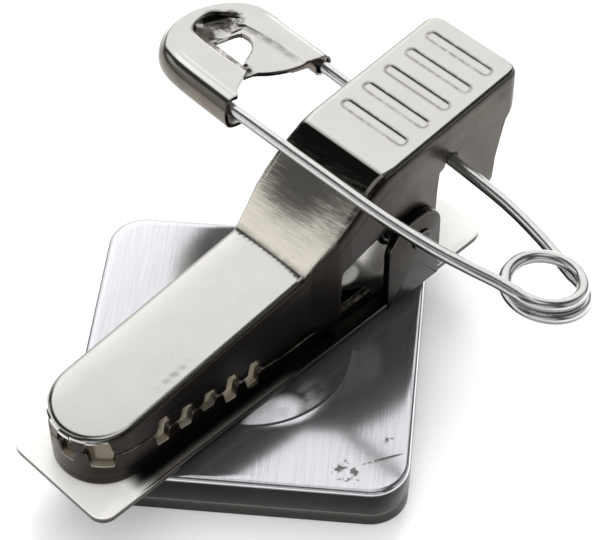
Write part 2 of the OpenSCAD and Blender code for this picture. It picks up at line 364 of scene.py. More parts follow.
def lift(plan: np.ndarray, z: np.ndarray) -> np.ndarray:
    """Give plan points (..., 2) their heights."""
    return np.concatenate([plan, np.broadcast_to(z, plan.shape[:-1])[..., None]], axis=-1)


def pressed_shell(plan: Plan, spine: np.ndarray, top: Callable, low: np.ndarray, sheet: float,
                  roll: Extent, walled: np.ndarray, way: float = 1.0, hole: bool = False,
                  rows: tuple[int, int] = (26, 7)) -> Surface:
    """Press a sheet into a plate with walls along its outline.

    The section of each column runs from the spine over the plate, z = top(x, y),
    round the edge on a quarter circle of radius roll, down the wall to low, round
    the rim, and back inside, one sheet thinner.

    Args:
        plan: outline of the outer face of the walls.
        spine: the points (n, 2) that the columns start from, on the middle line or a hole.
        top: height of the outer face at (x, y).
        low: height of each column's rim.
        sheet: thickness of the sheet.
        roll: radius of the outer edge, one for all columns or one each.
        walled: 1 where a column has a wall and 0 where the sheet just ends.
        way: 1 for a plate above its walls and -1 for one below them.
        hole: whether the spine is a hole's edge, which then gets its own wall.
        rows: rows on the outer and on the inner face of the plate.

    Returns:
        The closed surface, with the mark inner on its hidden face.
    """
    def plate(inset: Extent, drop: float, count: int, outward: bool) -> np.ndarray:
        """Lay rows between the spine s and the outline o: s (1 - u) + o u.

        Args:
            inset: how far the outline is moved inwards.
            drop: how far the rows lie behind the outer face.
            count: number of rows.
            outward: whether the rows start at the spine.

        Returns:
            The rows, shape (count, n, 3).
        """
        u = np.linspace(0, 1, count)
        u = (u if outward else u[::-1])[:, None, None]
        p = spine[None] * (1 - u) + plan.inset(inset)[None] * u
        return lift(p, top(p[..., 0], p[..., 1]) - way * drop)

    def height(inset: Extent) -> np.ndarray:
        """Height of the outer face at the outline moved inwards."""
        p = plan.inset(inset)
        return top(p[:, 0], p[:, 1])

    edge_z = height(roll)
    rounding = [lift(plan.inset(roll * (1 - math.sin(a))), edge_z - way * roll * (1 - math.cos(a)))
                for a in np.radians([18, 36, 54, 72, 90])]
    wall_top = edge_z - way * roll
    rim = way * RIM_EASE * walled
    wall_end = low + rim
    wall_end = np.minimum(wall_end, wall_top) if way > 0 else np.maximum(wall_end, wall_top)
    swell = np.maximum(wall_top - SHOULDER, wall_end) if way > 0 else np.minimum(wall_top + SHOULDER, wall_end)
    out = PROUD * walled[:, None] * np.stack([plan.nx, plan.ny], axis=-1)
    wall = [lift(plan.inset(0) + share * out, wall_top * (1 - u) + swell * u)
            for u, share in ((0.5, 0.0), (0.78, 0.0), (0.9, 0.5), (1.0, 1.0))]
    wall += [lift(plan.inset(0) + out, swell * (1 - u) + wall_end * u) for u in np.linspace(0, 1, 8)[1:]]
    lip = [lift(plan.inset(sheet * u), low + rim * rise)
           for u, rise in ((0.0, 0.4), (0.12, 0.08), (0.5, 0), (0.8, 0.08), (0.94, 0.4))]
    inner_z = height(sheet + INNER_EASE) - way * (sheet + INNER_EASE * walled)
    inner = [lift(plan.inset(sheet), (low + rim) * (1 - u) + inner_z * u) for u in np.linspace(0, 1, 6)]
    rings = np.concatenate([plate(roll, 0.0, rows[0], True), rounding, wall, lip, inner,
                            plate(sheet + INNER_EASE, sheet, rows[1], False)])
    hidden = np.arange(len(rings)) >= len(rings) - len(inner) - rows[1]
    return replace(skin(rings, capped=False, loop=hole), inner=np.repeat(hidden.astype(float), len(plan.x)))


# Materials: procedural metals on Object coordinates and the pieces' own marks.

def paint(colour: Triple, share: float = 1.0) -> tuple[float, float, float, float]:
    """Scale a colour and make it opaque."""
    return (share * colour[0], share * colour[1], share * colour[2], 1.0)


class Shade:
    """A socket whose arithmetic adds Math nodes to its material."""

    def __init__(self, finish: "Finish", socket: bpy.types.NodeSocket) -> None:
        """Wrap a socket of a finish."""
        self.finish = finish
        self.socket = socket

    def _math(self, kind: str, *values: "Shade | float") -> "Shade":
        """Add a Math node on this socket and other values."""
        return self.finish.node("ShaderNodeMath", {"operation": kind}, dict(enumerate(values)))

    def __add__(self, other: "Shade | float") -> "Shade":
        """Sum."""
        return self._math("ADD", self, other)

    __radd__ = __add__

    def __sub__(self, other: "Shade | float") -> "Shade":
        """Difference."""
        return self._math("SUBTRACT", self, other)

    def __rsub__(self, other: "Shade | float") -> "Shade":
        """Difference from a number."""
        return self._math("SUBTRACT", other, self)

    def __mul__(self, other: "Shade | float") -> "Shade":
        """Product."""
        return self._math("MULTIPLY", self, other)

    __rmul__ = __mul__

    def clamp(self, low: float, high: float) -> "Shade":
        """Map low..high onto 0..1 with soft ends and hold the rest."""
        return self.finish.node("ShaderNodeMapRange", {"clamp": True, "interpolation_type": "SMOOTHSTEP"},
                                {"Value": self, "From Min": low, "From Max": high})


class Finish:
    """A procedural material under construction."""

    def __init__(self, name: str) -> None:
        """Start a material.

        Args:
            name: the material's name.
        """
        self.material = bpy.data.materials.new(name)
        self.material.use_nodes = True
        self.tree = self.material.node_tree
        self.shader = self.tree.nodes["Principled BSDF"]

    def node(self, kind: str, settings: dict, inputs: dict, output: int | str = 0) -> Shade:
        """Add a node.

        Args:
            kind: the node's type.
            settings: attributes to set first.
            inputs: values or links of its sockets, by name or number.
            output: the output socket to return.

        Returns:
            The chosen output.
        """
        n = self.tree.nodes.new(kind)
        for key, value in settings.items():
            setattr(n, key, value)
        for key, value in inputs.items():
            self.link(n.inputs[key], value)
        return Shade(self, n.outputs[output])

    def link(self, socket: bpy.types.NodeSocket, value: "Shade | float | tuple") -> None:
        """Feed a socket.

        Args:
            socket: the input to feed.
            value: an output to link to it, or a constant to set on it.
        """
        if isinstance(value, Shade):
            self.tree.links.new(value.socket, socket)
        else:
            socket.default_value = value

    def set(self, name: str, value: "Shade | float | tuple") -> None:
        """Feed an input of the shader."""
        self.link(self.shader.inputs[name], value)

    def vector(self, operation: str, a: "Shade | tuple", b: "Shade | tuple") -> Shade:
        """Combine two vectors."""
        return self.node("ShaderNodeVectorMath", {"operation": operation}, {0: a, 1: b})

    def length(self, vector: Shade) -> Shade:
        """Length of a vector."""
        return self.node("ShaderNodeVectorMath", {"operation": "LENGTH"}, {0: vector}, "Value")

    def millimetres(self) -> Shade:
        """Object coordinates in millimetres."""
        return self.vector("MULTIPLY", self.node("ShaderNodeTexCoord", {}, {}, "Object"), (1 / MM, 1 / MM, 1 / MM))

    def stretch(self, place: Shade, scale: Triple, turn: float) -> Shade:
        """Turn coordinates about Z by degrees, then scale them."""
        turned_place = self.node("ShaderNodeMapping", {}, {"Vector": place, "Rotation": (0, 0, math.radians(turn))})
        return self.vector("MULTIPLY", turned_place, scale)

    def axis(self, place: Shade, name: str) -> Shade:
        """Take X, Y or Z of a vector."""
        return self.node("ShaderNodeSeparateXYZ", {}, {0: place}, name)

    def near(self, place: Shade, centre: Triple, reach: Triple) -> Shade:
        """Mark a spot: 1 within a fifth of its reach from the centre, 0 outside it.

        Args:
            place: coordinates.
            centre: the spot's middle.
            reach: the spot's half width along each axis.

        Returns:
            The mark.
        """
        share = self.vector("DIVIDE", self.vector("SUBTRACT", place, centre), reach)
        return 1 - self.length(share).clamp(0.2, 1.0)

    def attribute(self, name: str) -> Shade:
        """Read one of the piece's own marks."""
        return self.node("ShaderNodeAttribute", {"attribute_name": name}, {}, "Fac")

    def noise(self, place: Shade, scale: float, detail: float, rough: float) -> Shade:
        """Noise between 0 and 1."""
        inputs = {"Vector": place, "Scale": scale, "Detail": detail, "Roughness": rough}
        return self.node("ShaderNodeTexNoise", {}, inputs)

    def mix(self, share: "Shade | float", a: "Shade | tuple", b: "Shade | tuple") -> Shade:
        """Mix two colours."""
        return self.node("ShaderNodeMix", {"data_type": "RGBA"}, {0: share, 6: a, 7: b}, 2)

    def relief(self, height: Shade, depth: float, strength: float) -> None:
        """Feed the normal from a height, its depth in millimetres."""
        self.set("Normal", self.node("ShaderNodeBump", {}, {"Height": height, "Distance": depth * MM,
                                                            "Strength": strength}))


class TarnishAndShade(Enum):
    """Colours of soil and wear on the plating, and of painted shade and painted reflection."""

    # The first six colours paint shade, shadow and the neck's reflection; the pit and scuff colours are real wear.
    SPOT_SHADE = (0.05, 0.045, 0.04)
    STRIP_SHADOW = (0.045, 0.04, 0.034)
    REAR_SIDE_SHADE = (0.022, 0.018, 0.015)
    NECK_SHADED = (0.24, 0.228, 0.2)
    NECK_LIT = (0.78, 0.735, 0.64)
    INSIDE_SHADE = (0.1, 0.088, 0.072)
    PIT = (0.25, 0.23, 0.2)
    SCUFF = (0.16, 0.14, 0.11)


@dataclass
class Coat:
    """What a nickel finish is mixed from: top colour, side colour of painted shade, roughness, relief and lost shine.
    """

    bright: Shade
    shaded_side: Shade
    rough: Shade
    height: Shade
    dull: "Shade | float" = 0.0


@dataclass(frozen=True)
class Nickel:
    """Bright nickel plate on pressed sheet: clear on its tops, with painted shade on its sides.

    The painted shade spots and the hazes are each a centre and a reach; the hazes dull the metal. neck adds brush
    streaks and a painted reflection on the lever's neck, and foot paints shadow on the plate's tops beside the tray.
    """

    name: str
    top: Triple = (0.85, 0.835, 0.795)
    # The side colour below is painted shade, darker than the tops.
    side_shade: Triple = (0.068, 0.06, 0.051)
    inside: Triple = (0.56, 0.5, 0.4)
    # The colour below darkens the marked places: painted shade in hollows, creases and rims, and the jaw's nick marks.
    dirt_and_shade: Triple = (0.17, 0.155, 0.13)
    gloss: float = 0.16
    side_rough: float = 0.3
    metal: float = 1.0
    neck: bool = False
    foot: bool = False
    shade_spots: tuple[tuple[Triple, Triple], ...] = ()
    hazes: tuple[tuple[Triple, Triple], ...] = ()

    def shadow_strip(self, f: Finish, place: Shade, coat: Coat) -> None:
        """Darken the tops beyond |y| = 3.1 to 3.3 mm, for x from -13.8 to 14.2.

        Args:
            f: the material.
            place: coordinates.
            coat: the coat to change.
        """
        x, y = f.axis(place, "X"), f.axis(place, "Y")
        strip = (y * y).clamp(9.6, 11.0) * (1 - x.clamp(12.2, 14.2)) * x.clamp(-13.8, -13.0)
        # Painted shadow on the plate's tops beside the tray.
        coat.bright = f.mix(strip * 0.92, coat.bright, paint(TarnishAndShade.STRIP_SHADOW.value))

    def neck_streaks_and_reflection(self, f: Finish, place: Shade, side: Shade, coat: Coat) -> None:
        """Paint the neck's reflection: dark under the bend, lit and dull towards the jaw, darker in a shade spot, with
        brush streaks along Y; the sides behind the bend get darker painted shade.

        Args:
            f: the material.
            place: coordinates.
            side: the mark of the sides, which keep their painted shade.
            coat: the coat to change.
        """
        x, z = f.axis(place, "X"), f.axis(place, "Z")
        # Painted shade on the sides behind x = -6.5.
        coat.shaded_side = f.mix(x.clamp(-13.5, -6.5), coat.shaded_side, paint(TarnishAndShade.REAR_SIDE_SHADE.value))
        band = x.clamp(-8.75, -8.35) * (1 - x.clamp(-2.0, -1.7)) * z.clamp(10.0, 10.8)
        brush = f.noise(f.stretch(place, (6.5, 0.3, 6.5), -8), 1.0, 6.0, 0.7)
        shade = f.near(place, (-5.2, -0.9, 14.6), (3.0, 3.4, 3.6)) * 0.9
        below, lighter_towards_jaw = x.clamp(-8.2, -6.6), x.clamp(-7.6, -2.2)
        streak = (brush.clamp(0.2, 0.8) - 0.5) * (0.55 - lighter_towards_jaw * 0.25) * below
        # Painted reflection: a ramp from dark under the bend to light towards the jaw, less where the shade spot lies,
        # with brush streaks.
        wear_and_painted_light = (lighter_towards_jaw * 0.72 + streak - shade * 0.42 + below * 0.12).clamp(0.0, 1.0)
        coat.bright = f.mix(band, coat.bright, f.mix(wear_and_painted_light, paint(TarnishAndShade.NECK_SHADED.value), paint(TarnishAndShade.NECK_LIT.value)))
        coat.rough = coat.rough + band * (1 - side) * (wear_and_painted_light * 0.3 - 0.08)
        coat.dull = band * wear_and_painted_light * (1 - side) * 0.7
        coat.height = coat.height + band * brush * lighter_towards_jaw.clamp(0.0, 0.3) * 4.0

    def material(self) -> bpy.types.Material:
        """Mix top, side and inside by the piece's marks, with painted shade spots, fine scratches and pits.

        Returns:
            The finished material.
        """
        f = Finish(self.name)
        place = f.millimetres()
        side, inner = f.attribute("side"), f.attribute("inner")
        cloud = f.noise(place, 0.45, 4.0, 0.55)
        grain = f.noise(f.stretch(place, (0.6, 9.0, 2.0), 12), 1.0, 5.0, 0.6)
        # The tops keep the metal's colour; the sides get painted shade, varied by cloud.
        coat = Coat(
            bright=f.mix(cloud.clamp(0.35, 0.75) * 0.5, paint(self.top), paint(self.top, 0.93)),
            shaded_side=f.mix(cloud.clamp(0.3, 0.7), paint(self.side_shade), paint(self.side_shade, 1.5)),
            rough=self.gloss + side * (self.side_rough - self.gloss) + (grain - 0.5) * 0.06 + cloud * 0.04,
            height=grain * 0.6 + f.noise(place, 2.2, 2.0, 0.5) * 0.8)
        # Painted shade in spots, blotched by noise.
        for centre, reach in self.shade_spots:
            spot_shade = f.near(place, centre, reach).clamp(0.1, 0.6) * f.noise(place, 0.9, 3.0, 0.55).clamp(0.36, 0.5)
            coat.bright = f.mix(spot_shade, coat.bright, paint(TarnishAndShade.SPOT_SHADE.value))
        if self.foot:
            self.shadow_strip(f, place, coat)
        if self.neck:
            self.neck_streaks_and_reflection(f, place, side, coat)
        # The marked places darken: painted shade in grooves, creases, folds, hollows and tray rims, and the jaw's nick
        # marks.
        soiled_and_shaded = f.attribute("grime_and_shade") * f.noise(place, 1.6, 4.0, 0.6).clamp(0.2, 0.6)
        bright = f.mix(soiled_and_shaded, coat.bright, paint(self.dirt_and_shade))
        # Inner faces: lighter towards the jaw's tip as painted light, dark behind x = -0.5 as painted shade.
        inside_lit_and_shaded = f.mix(f.axis(place, "X").clamp(-0.5, 1.5), paint(TarnishAndShade.INSIDE_SHADE.value), paint(self.inside))
        colour = f.mix(inner, f.mix(side, bright, coat.shaded_side), inside_lit_and_shaded)
        pits = f.noise(place, 6.0, 3.0, 0.6).clamp(0.60, 0.72) * 0.12
        f.set("Base Color", f.mix(pits, colour, paint(TarnishAndShade.PIT.value)))
        for centre, reach in self.hazes:
            coat.dull = coat.dull + f.near(place, centre, reach).clamp(0.0, 0.5) * (1 - side) * 0.9
        f.set("Metallic", 1 - (1 - self.metal) * (1 - side) - inner * 0.6 - coat.dull)
        f.set("Roughness", coat.rough + inner * 0.25)
        f.relief(coat.height, 0.004, 0.25)
        return f.material


@dataclass(frozen=True)
class Brushed:
    """Brushed plate: fine parallel lines along the base's side, a hazy dish and a scuffed corner."""

    name: str
    top: Triple = (0.88, 0.89, 0.92)
    # The side colour below is painted shade on the base's pressed sides.
    side_shade: Triple = (0.016, 0.015, 0.014)
    turn: float = 39.7
    dish_edge: Pair = (6.45, 6.6)

    def wear(self, f: Finish, place: Shade) -> Shade:
        """Mark two torn scuffs and one straight scratch beside them.

        Args:
            f: the material.
            place: coordinates.

        Returns:
            The mark.
        """
        torn = f.noise(place, 1.5, 6.0, 0.75)
        scuff = f.near(place, (2.75, 11.7, 3.6), (1.5, 1.5, 4.0))
        scuff = scuff + f.near(place, (-0.7, 11.7, 3.6), (1.7, 0.6, 4.0)) * 0.75
        across = f.stretch(place, (1.0, 1.0, 1.0), -153.3)
        scratch = f.near(across, (5.26, -11.52, 3.6), (1.9, 0.13, 4.0)).clamp(0.1, 0.45)
        return (torn + scuff * 0.2).clamp(0.66, 0.73) * scuff.clamp(0.0, 0.4) + scratch * torn.clamp(0.3, 0.5)

    def haze(self, f: Finish, place: Shade) -> Shade:
        """Mark a pale patch and a blotch beside it, both inside the dish.

        Args:
            f: the material.
            place: coordinates.

        Returns:
            The mark.
        """
        out = f.length(f.vector("MULTIPLY", place, (1.0, 1.0, 0.0)))
        blotch = f.near(place, (1.4, 5.7, 3.3), (3.4, 2.2, 3.0)) * f.noise(place, 0.7, 3.0, 0.5).clamp(0.4, 0.68)
        patch = f.near(place, (3.2, 5.1, 3.3), (3.2, 1.9, 3.0)).clamp(0.05, 0.6)
        return (patch + blotch * 0.42) * (1 - out.clamp(*self.dish_edge))

    def material(self) -> bpy.types.Material:
        """Stretch noise along the brushing, darken the pressed sides with painted shade, and add haze and wear.

        Returns:
            The finished material.
        """
        f = Finish(self.name)
        place = f.millimetres()
        side = f.attribute("side")
        lines = f.noise(f.stretch(place, (0.25, 8.0, 3.0), -self.turn), 1.0, 6.0, 0.65)
        cloud = f.noise(place, 0.3, 3.0, 0.5)
        bright = f.mix(lines.clamp(0.3, 0.72), paint(self.top), paint(self.top, 0.9))
        # Painted shade on the pressed sides.
        shaded_side = f.mix(cloud.clamp(0.3, 0.7), paint(self.side_shade), paint(self.side_shade, 1.4))
        wear_and_painted_light = self.wear(f, place)
        soiled_and_shaded = wear_and_painted_light.clamp(0.0, 1.0) * 0.8
        f.set("Base Color", f.mix(soiled_and_shaded, f.mix(side, bright, shaded_side), paint(TarnishAndShade.SCUFF.value)))
        f.set("Metallic", 1 - (1 - side) * 0.05 - self.haze(f, place) * (0.45 + lines * 0.6))
        f.set("Roughness", 0.14 + (lines - 0.5) * 0.08 + side * 0.12 + wear_and_painted_light * 0.3)
        f.relief(lines - wear_and_painted_light * 2.0, 0.006, 0.45)
        return f.material


@dataclass(frozen=True)
class DrawnWire:
    """Plated wire with faint lines along it and painted shade on its underside."""

    name: str
    colour: Triple = (0.88, 0.88, 0.86)
    gloss: float = 0.22

    def material(self) -> bpy.types.Material:
        """Vary the gloss in spots and long lines.

        Returns:
            The finished material.
        """
        f = Finish(self.name)
        place = f.millimetres()
        spots = f.noise(place, 1.4, 4.0, 0.6)
        lines = f.noise(f.stretch(place, (6.0, 0.4, 6.0), 0), 1.0, 4.0, 0.6)
        clear = f.mix(spots.clamp(0.45, 0.75) * 0.4, paint(self.colour), paint(self.colour, 0.75))
        # Painted shade: where the wire faces down it is darkened towards 0.12 of its colour.
        f.set("Base Color", f.mix(f.attribute("side") * 0.85, clear, paint(self.colour, 0.12)))
        f.set("Metallic", 0.97)
        f.set("Roughness", self.gloss + (lines - 0.5) * 0.12 + spots.clamp(0.5, 0.8) * 0.08)
        f.relief(lines + spots, 0.003, 0.3)
        return f.material


# Pieces: each class builds one sub-assembly and dresses what it builds.

class Body(Enum):
    """The bodies that pieces ride on."""

    BASE = "base"
    CLIP = "clip"
    LEVER = "lever"
    PIN = "pin"


def dress(piece: bpy.types.Object, body: Body, node: str,
          material: bpy.types.Material) -> bpy.types.Object:
    """Give a piece its material and its body, and hide the CAD node that it stands for.

    Args:
        piece: the finished mesh object.
        body: the body that it rides on.
        node: the CAD node that it replaces.
        material: its finish.

    Returns:
        The same piece.
    """
    piece.data.materials.append(material)
    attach(piece, body.value)
    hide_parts(node)
    LOG.info("%s: %d faces for %s", piece.name, len(piece.data.polygons), node)
    return piece


@dataclass
class SwivelBase:
    """The square base: a pressed cover with a dish over a lower layer."""

    width: float = 22.5
    corner: float = 2.6
    height: float = 3.6
    foot: float = 1.2
    turn: float = 39.7
    dish_r: float = 6.7
    dish_d: float = 0.45
    wall: float = 0.8
    roof: float = 2.55
    edge_roll: float = 0.4
    hole_r: float = 1.3
    pocket: Pair = (2.5, 1.1)
    gap: float = 0.05

    def ring(self, inset: float, z: float, circle: float = 0.0, radius: float = 0.0) -> np.ndarray:
        """Make one ring between the square and a circle: (1 - c) p + c r p / |p|.

        Args:
            inset: how far the square p is moved inwards.
            z: height of the ring.
            circle: share c of the circle, from 0 to 1.
            radius: radius r of the circle.

        Returns:
            The points, turned as the base is.
        """
        h = self.width / 2
        square = round_rect(-h, h, -h, h, self.corner, 24, 14).inset(inset)
        if circle:
            square = (1 - circle) * square + circle * radius * square / np.linalg.norm(square, axis=1)[:, None]
        return turned(lift(square, np.full(len(square), z)), self.turn)

    def dish_z(self, r: float) -> float:
        """Height of the dish, a shallow ball's cap, or of the rim round it."""
        ball = (self.dish_r**2 + self.dish_d**2) / (2 * self.dish_d)
        return self.height + (0.008 - self.dish_d + ball - math.sqrt(ball**2 - r * r) if r < self.dish_r else 0.012)

    def cover(self) -> bpy.types.Object:
        """Build the cover from its inner foot outside, over the edge, into the dish and back inside.

        Returns:
            The cover.
        """
        r, z0, z1 = self.edge_roll, self.foot + self.gap, self.height
        rings = [self.ring(d, z0 + rise) for d, rise in ((self.wall, 0), (0.1, 0), (0.03, 0.03), (0, 0.1))]
        rings += [self.ring(r * (1 - math.cos(a)), z1 - r * (1 - math.sin(a))) for a in np.linspace(0, np.pi / 2, 8)]
        rings += [self.ring(r, z1, c, self.dish_r + 0.12) for c in np.linspace(0, 1, 14)[1:]]
        radii = np.concatenate([[self.dish_r + 0.06, self.dish_r],
                                np.linspace(self.dish_r - 0.06, self.hole_r, 24)])
        rings += [self.ring(0, self.dish_z(radius), 1, radius) for radius in radii]
        rings += [self.ring(0, self.roof, 1, self.hole_r), self.ring(self.wall + 0.6, self.roof),
                  self.ring(self.wall, self.roof - 0.5)]
        return make_piece("pressed_cover", [skin(np.array(rings), loop=True)])

    def core(self) -> bpy.types.Object:
        """Build the lower layer from its underside up to the rivet's pocket.

        Returns:
            The lower layer.
        """
        foot, top, (pocket_r, pocket_d) = self.foot, self.roof - self.gap, self.pocket
        rings = [self.ring(0.25, 0.0, 1, r) for r in (1.0, 8.0)]
        rings += [self.ring(d, z) for d, z in
                  ((0.25, 0.0), (0.12, 0.03), (0.05, 0.12), (0.05, foot - 0.1), (0.1, foot - 0.02), (0.2, foot),
                   (self.wall + self.gap, foot), (self.wall + self.gap, top))]
        rings += [self.ring(0, z, 1, r) for z, r in
                  ((top, pocket_r), (self.roof - pocket_d, pocket_r), (self.roof - pocket_d, 0.5))]
        return make_piece("base_layer", [skin(np.array(rings))])

    def build(self) -> None:
        """Build and dress the base."""
        # The lower layer is dark, and its sides take the darkest painted shade.
        side = Nickel("base_side", top=(0.2, 0.19, 0.18), side_shade=(0.008, 0.007, 0.006), side_rough=0.4)
        dress(self.cover(), Body.BASE, "base_cover", Brushed("brushed_base").material())
        dress(self.core(), Body.BASE, "base_core", side.material())


@dataclass
class Jaws:
    """Sizes that both jaws share, and the teeth along their edges."""

    half_width: float = 3.3
    tip: float = 13.0
    sheet: float = 0.5
    pitch: float = 1.95
    depth: float = 1.1
    notch: Pair = (0.40, 0.70)
    tip_rays: tuple[float, ...] = (-64, -28, 6, 42, 52)
    teeth_from: float = 2.0
    part_z: float = 5.75
    part_a: float = 9.1
    part_gap: float = 0.04

    def part_line(self, x: np.ndarray) -> np.ndarray:
        """Height of the line where the jaws meet."""
        return self.part_z + x * math.tan(math.radians(self.part_a))

    def notches(self, x: np.ndarray, y: np.ndarray, shift: float) -> np.ndarray:
        """Find the depth of the notches at outline points.

        A notch is eased from full depth within notch[0] of its middle to none past
        notch[1]. Along the sides the distance is taken by x, and round the tip
        across each of the rays that leave the tip's centre at tip_rays degrees.

        Args:
            x, y: outline points, shape (n,).
            shift: how far the lower jaw's notches stand off the upper ones.

        Returns:
            The depths, 0 behind the teeth.
        """
        full, none = self.notch

        def one(d: np.ndarray) -> np.ndarray:
            """Depth at a distance from a notch's middle."""
            return self.depth * ease((none - np.abs(d)) / (none - full))

        centres = self.tip - 2.4 - np.arange(5) * self.pitch + shift
        shares = np.array([1.0, 0.8, 0.45 if shift else 0.8, 1.0, 1.0])
        turn = np.radians(np.array(self.tip_rays) + 12 * shift)
        dx, dy = (x - self.tip)[:, None], y[:, None]
        ahead = dx * np.cos(turn) + dy * np.sin(turn) > 0
        across = np.where(ahead, dy * np.cos(turn) - dx * np.sin(turn), np.inf)
        deep = np.maximum((one(x[:, None] - centres) * shares).max(axis=1), one(across).max(axis=1))
        return np.where(x > self.teeth_from, deep, 0.0)


def lever_plan(half_jaw: float, half_pad: float, rear: float, corner: float, tip: float) -> tuple[Plan, np.ndarray]:
    """Outline the lever: rear edge, round corners, widening sides and round tip.

    Args:
        half_jaw, half_pad: half widths of the jaw and of the pad.
        rear: x of the rear edge.
        corner: radius of the rear corners.
        tip: x of the tip's centre.

    Returns:
        The outline, counter-clockwise from the rear middle, and the spine points.
    """
    edge_y = np.linspace(0, half_pad - corner, 12, endpoint=False)
    a = np.linspace(0, np.pi / 2, 16, endpoint=False)
    b = np.linspace(np.pi / 2, 0, 56)
    sides = np.concatenate([np.arange(rear + corner, -8.0, 0.075), np.arange(-8.0, -1.2, 0.1),
                            np.arange(-1.2, 1.2, 0.2), np.arange(1.2, tip, 0.075)])
    wide = np.interp(sides, [-7.1, -5.4, -4.4, -3.2, -2.3, -1.74], [1.0, 0.98, 0.84, 0.35, 0.06, 0.0])
    half = half_jaw + (half_pad - half_jaw) * wide
    slope = np.gradient(half, sides)
    x = np.concatenate([np.full(12, rear), rear + corner - corner * np.cos(a), sides, tip + half_jaw * np.cos(b)])
    y = np.concatenate([edge_y, half_pad - corner + corner * np.sin(a), half, half_jaw * np.sin(b)])
    nx = np.concatenate([np.full(12, -1.0), -np.cos(a), -slope, np.cos(b)])
    ny = np.concatenate([np.zeros(12), np.sin(a), np.ones_like(sides), np.sin(b)])
    norm = np.hypot(nx, ny)
    x, y, nx, ny = (np.concatenate([v, w * v[::-1][1:-1]]) for v, w in
                    ((x, 1), (y, -1), (nx / norm, 1), (ny / norm, -1)))
    return Plan(x, y, nx, ny), np.stack([np.clip(x, rear + corner + 0.3, tip), np.zeros_like(x)], axis=-1)


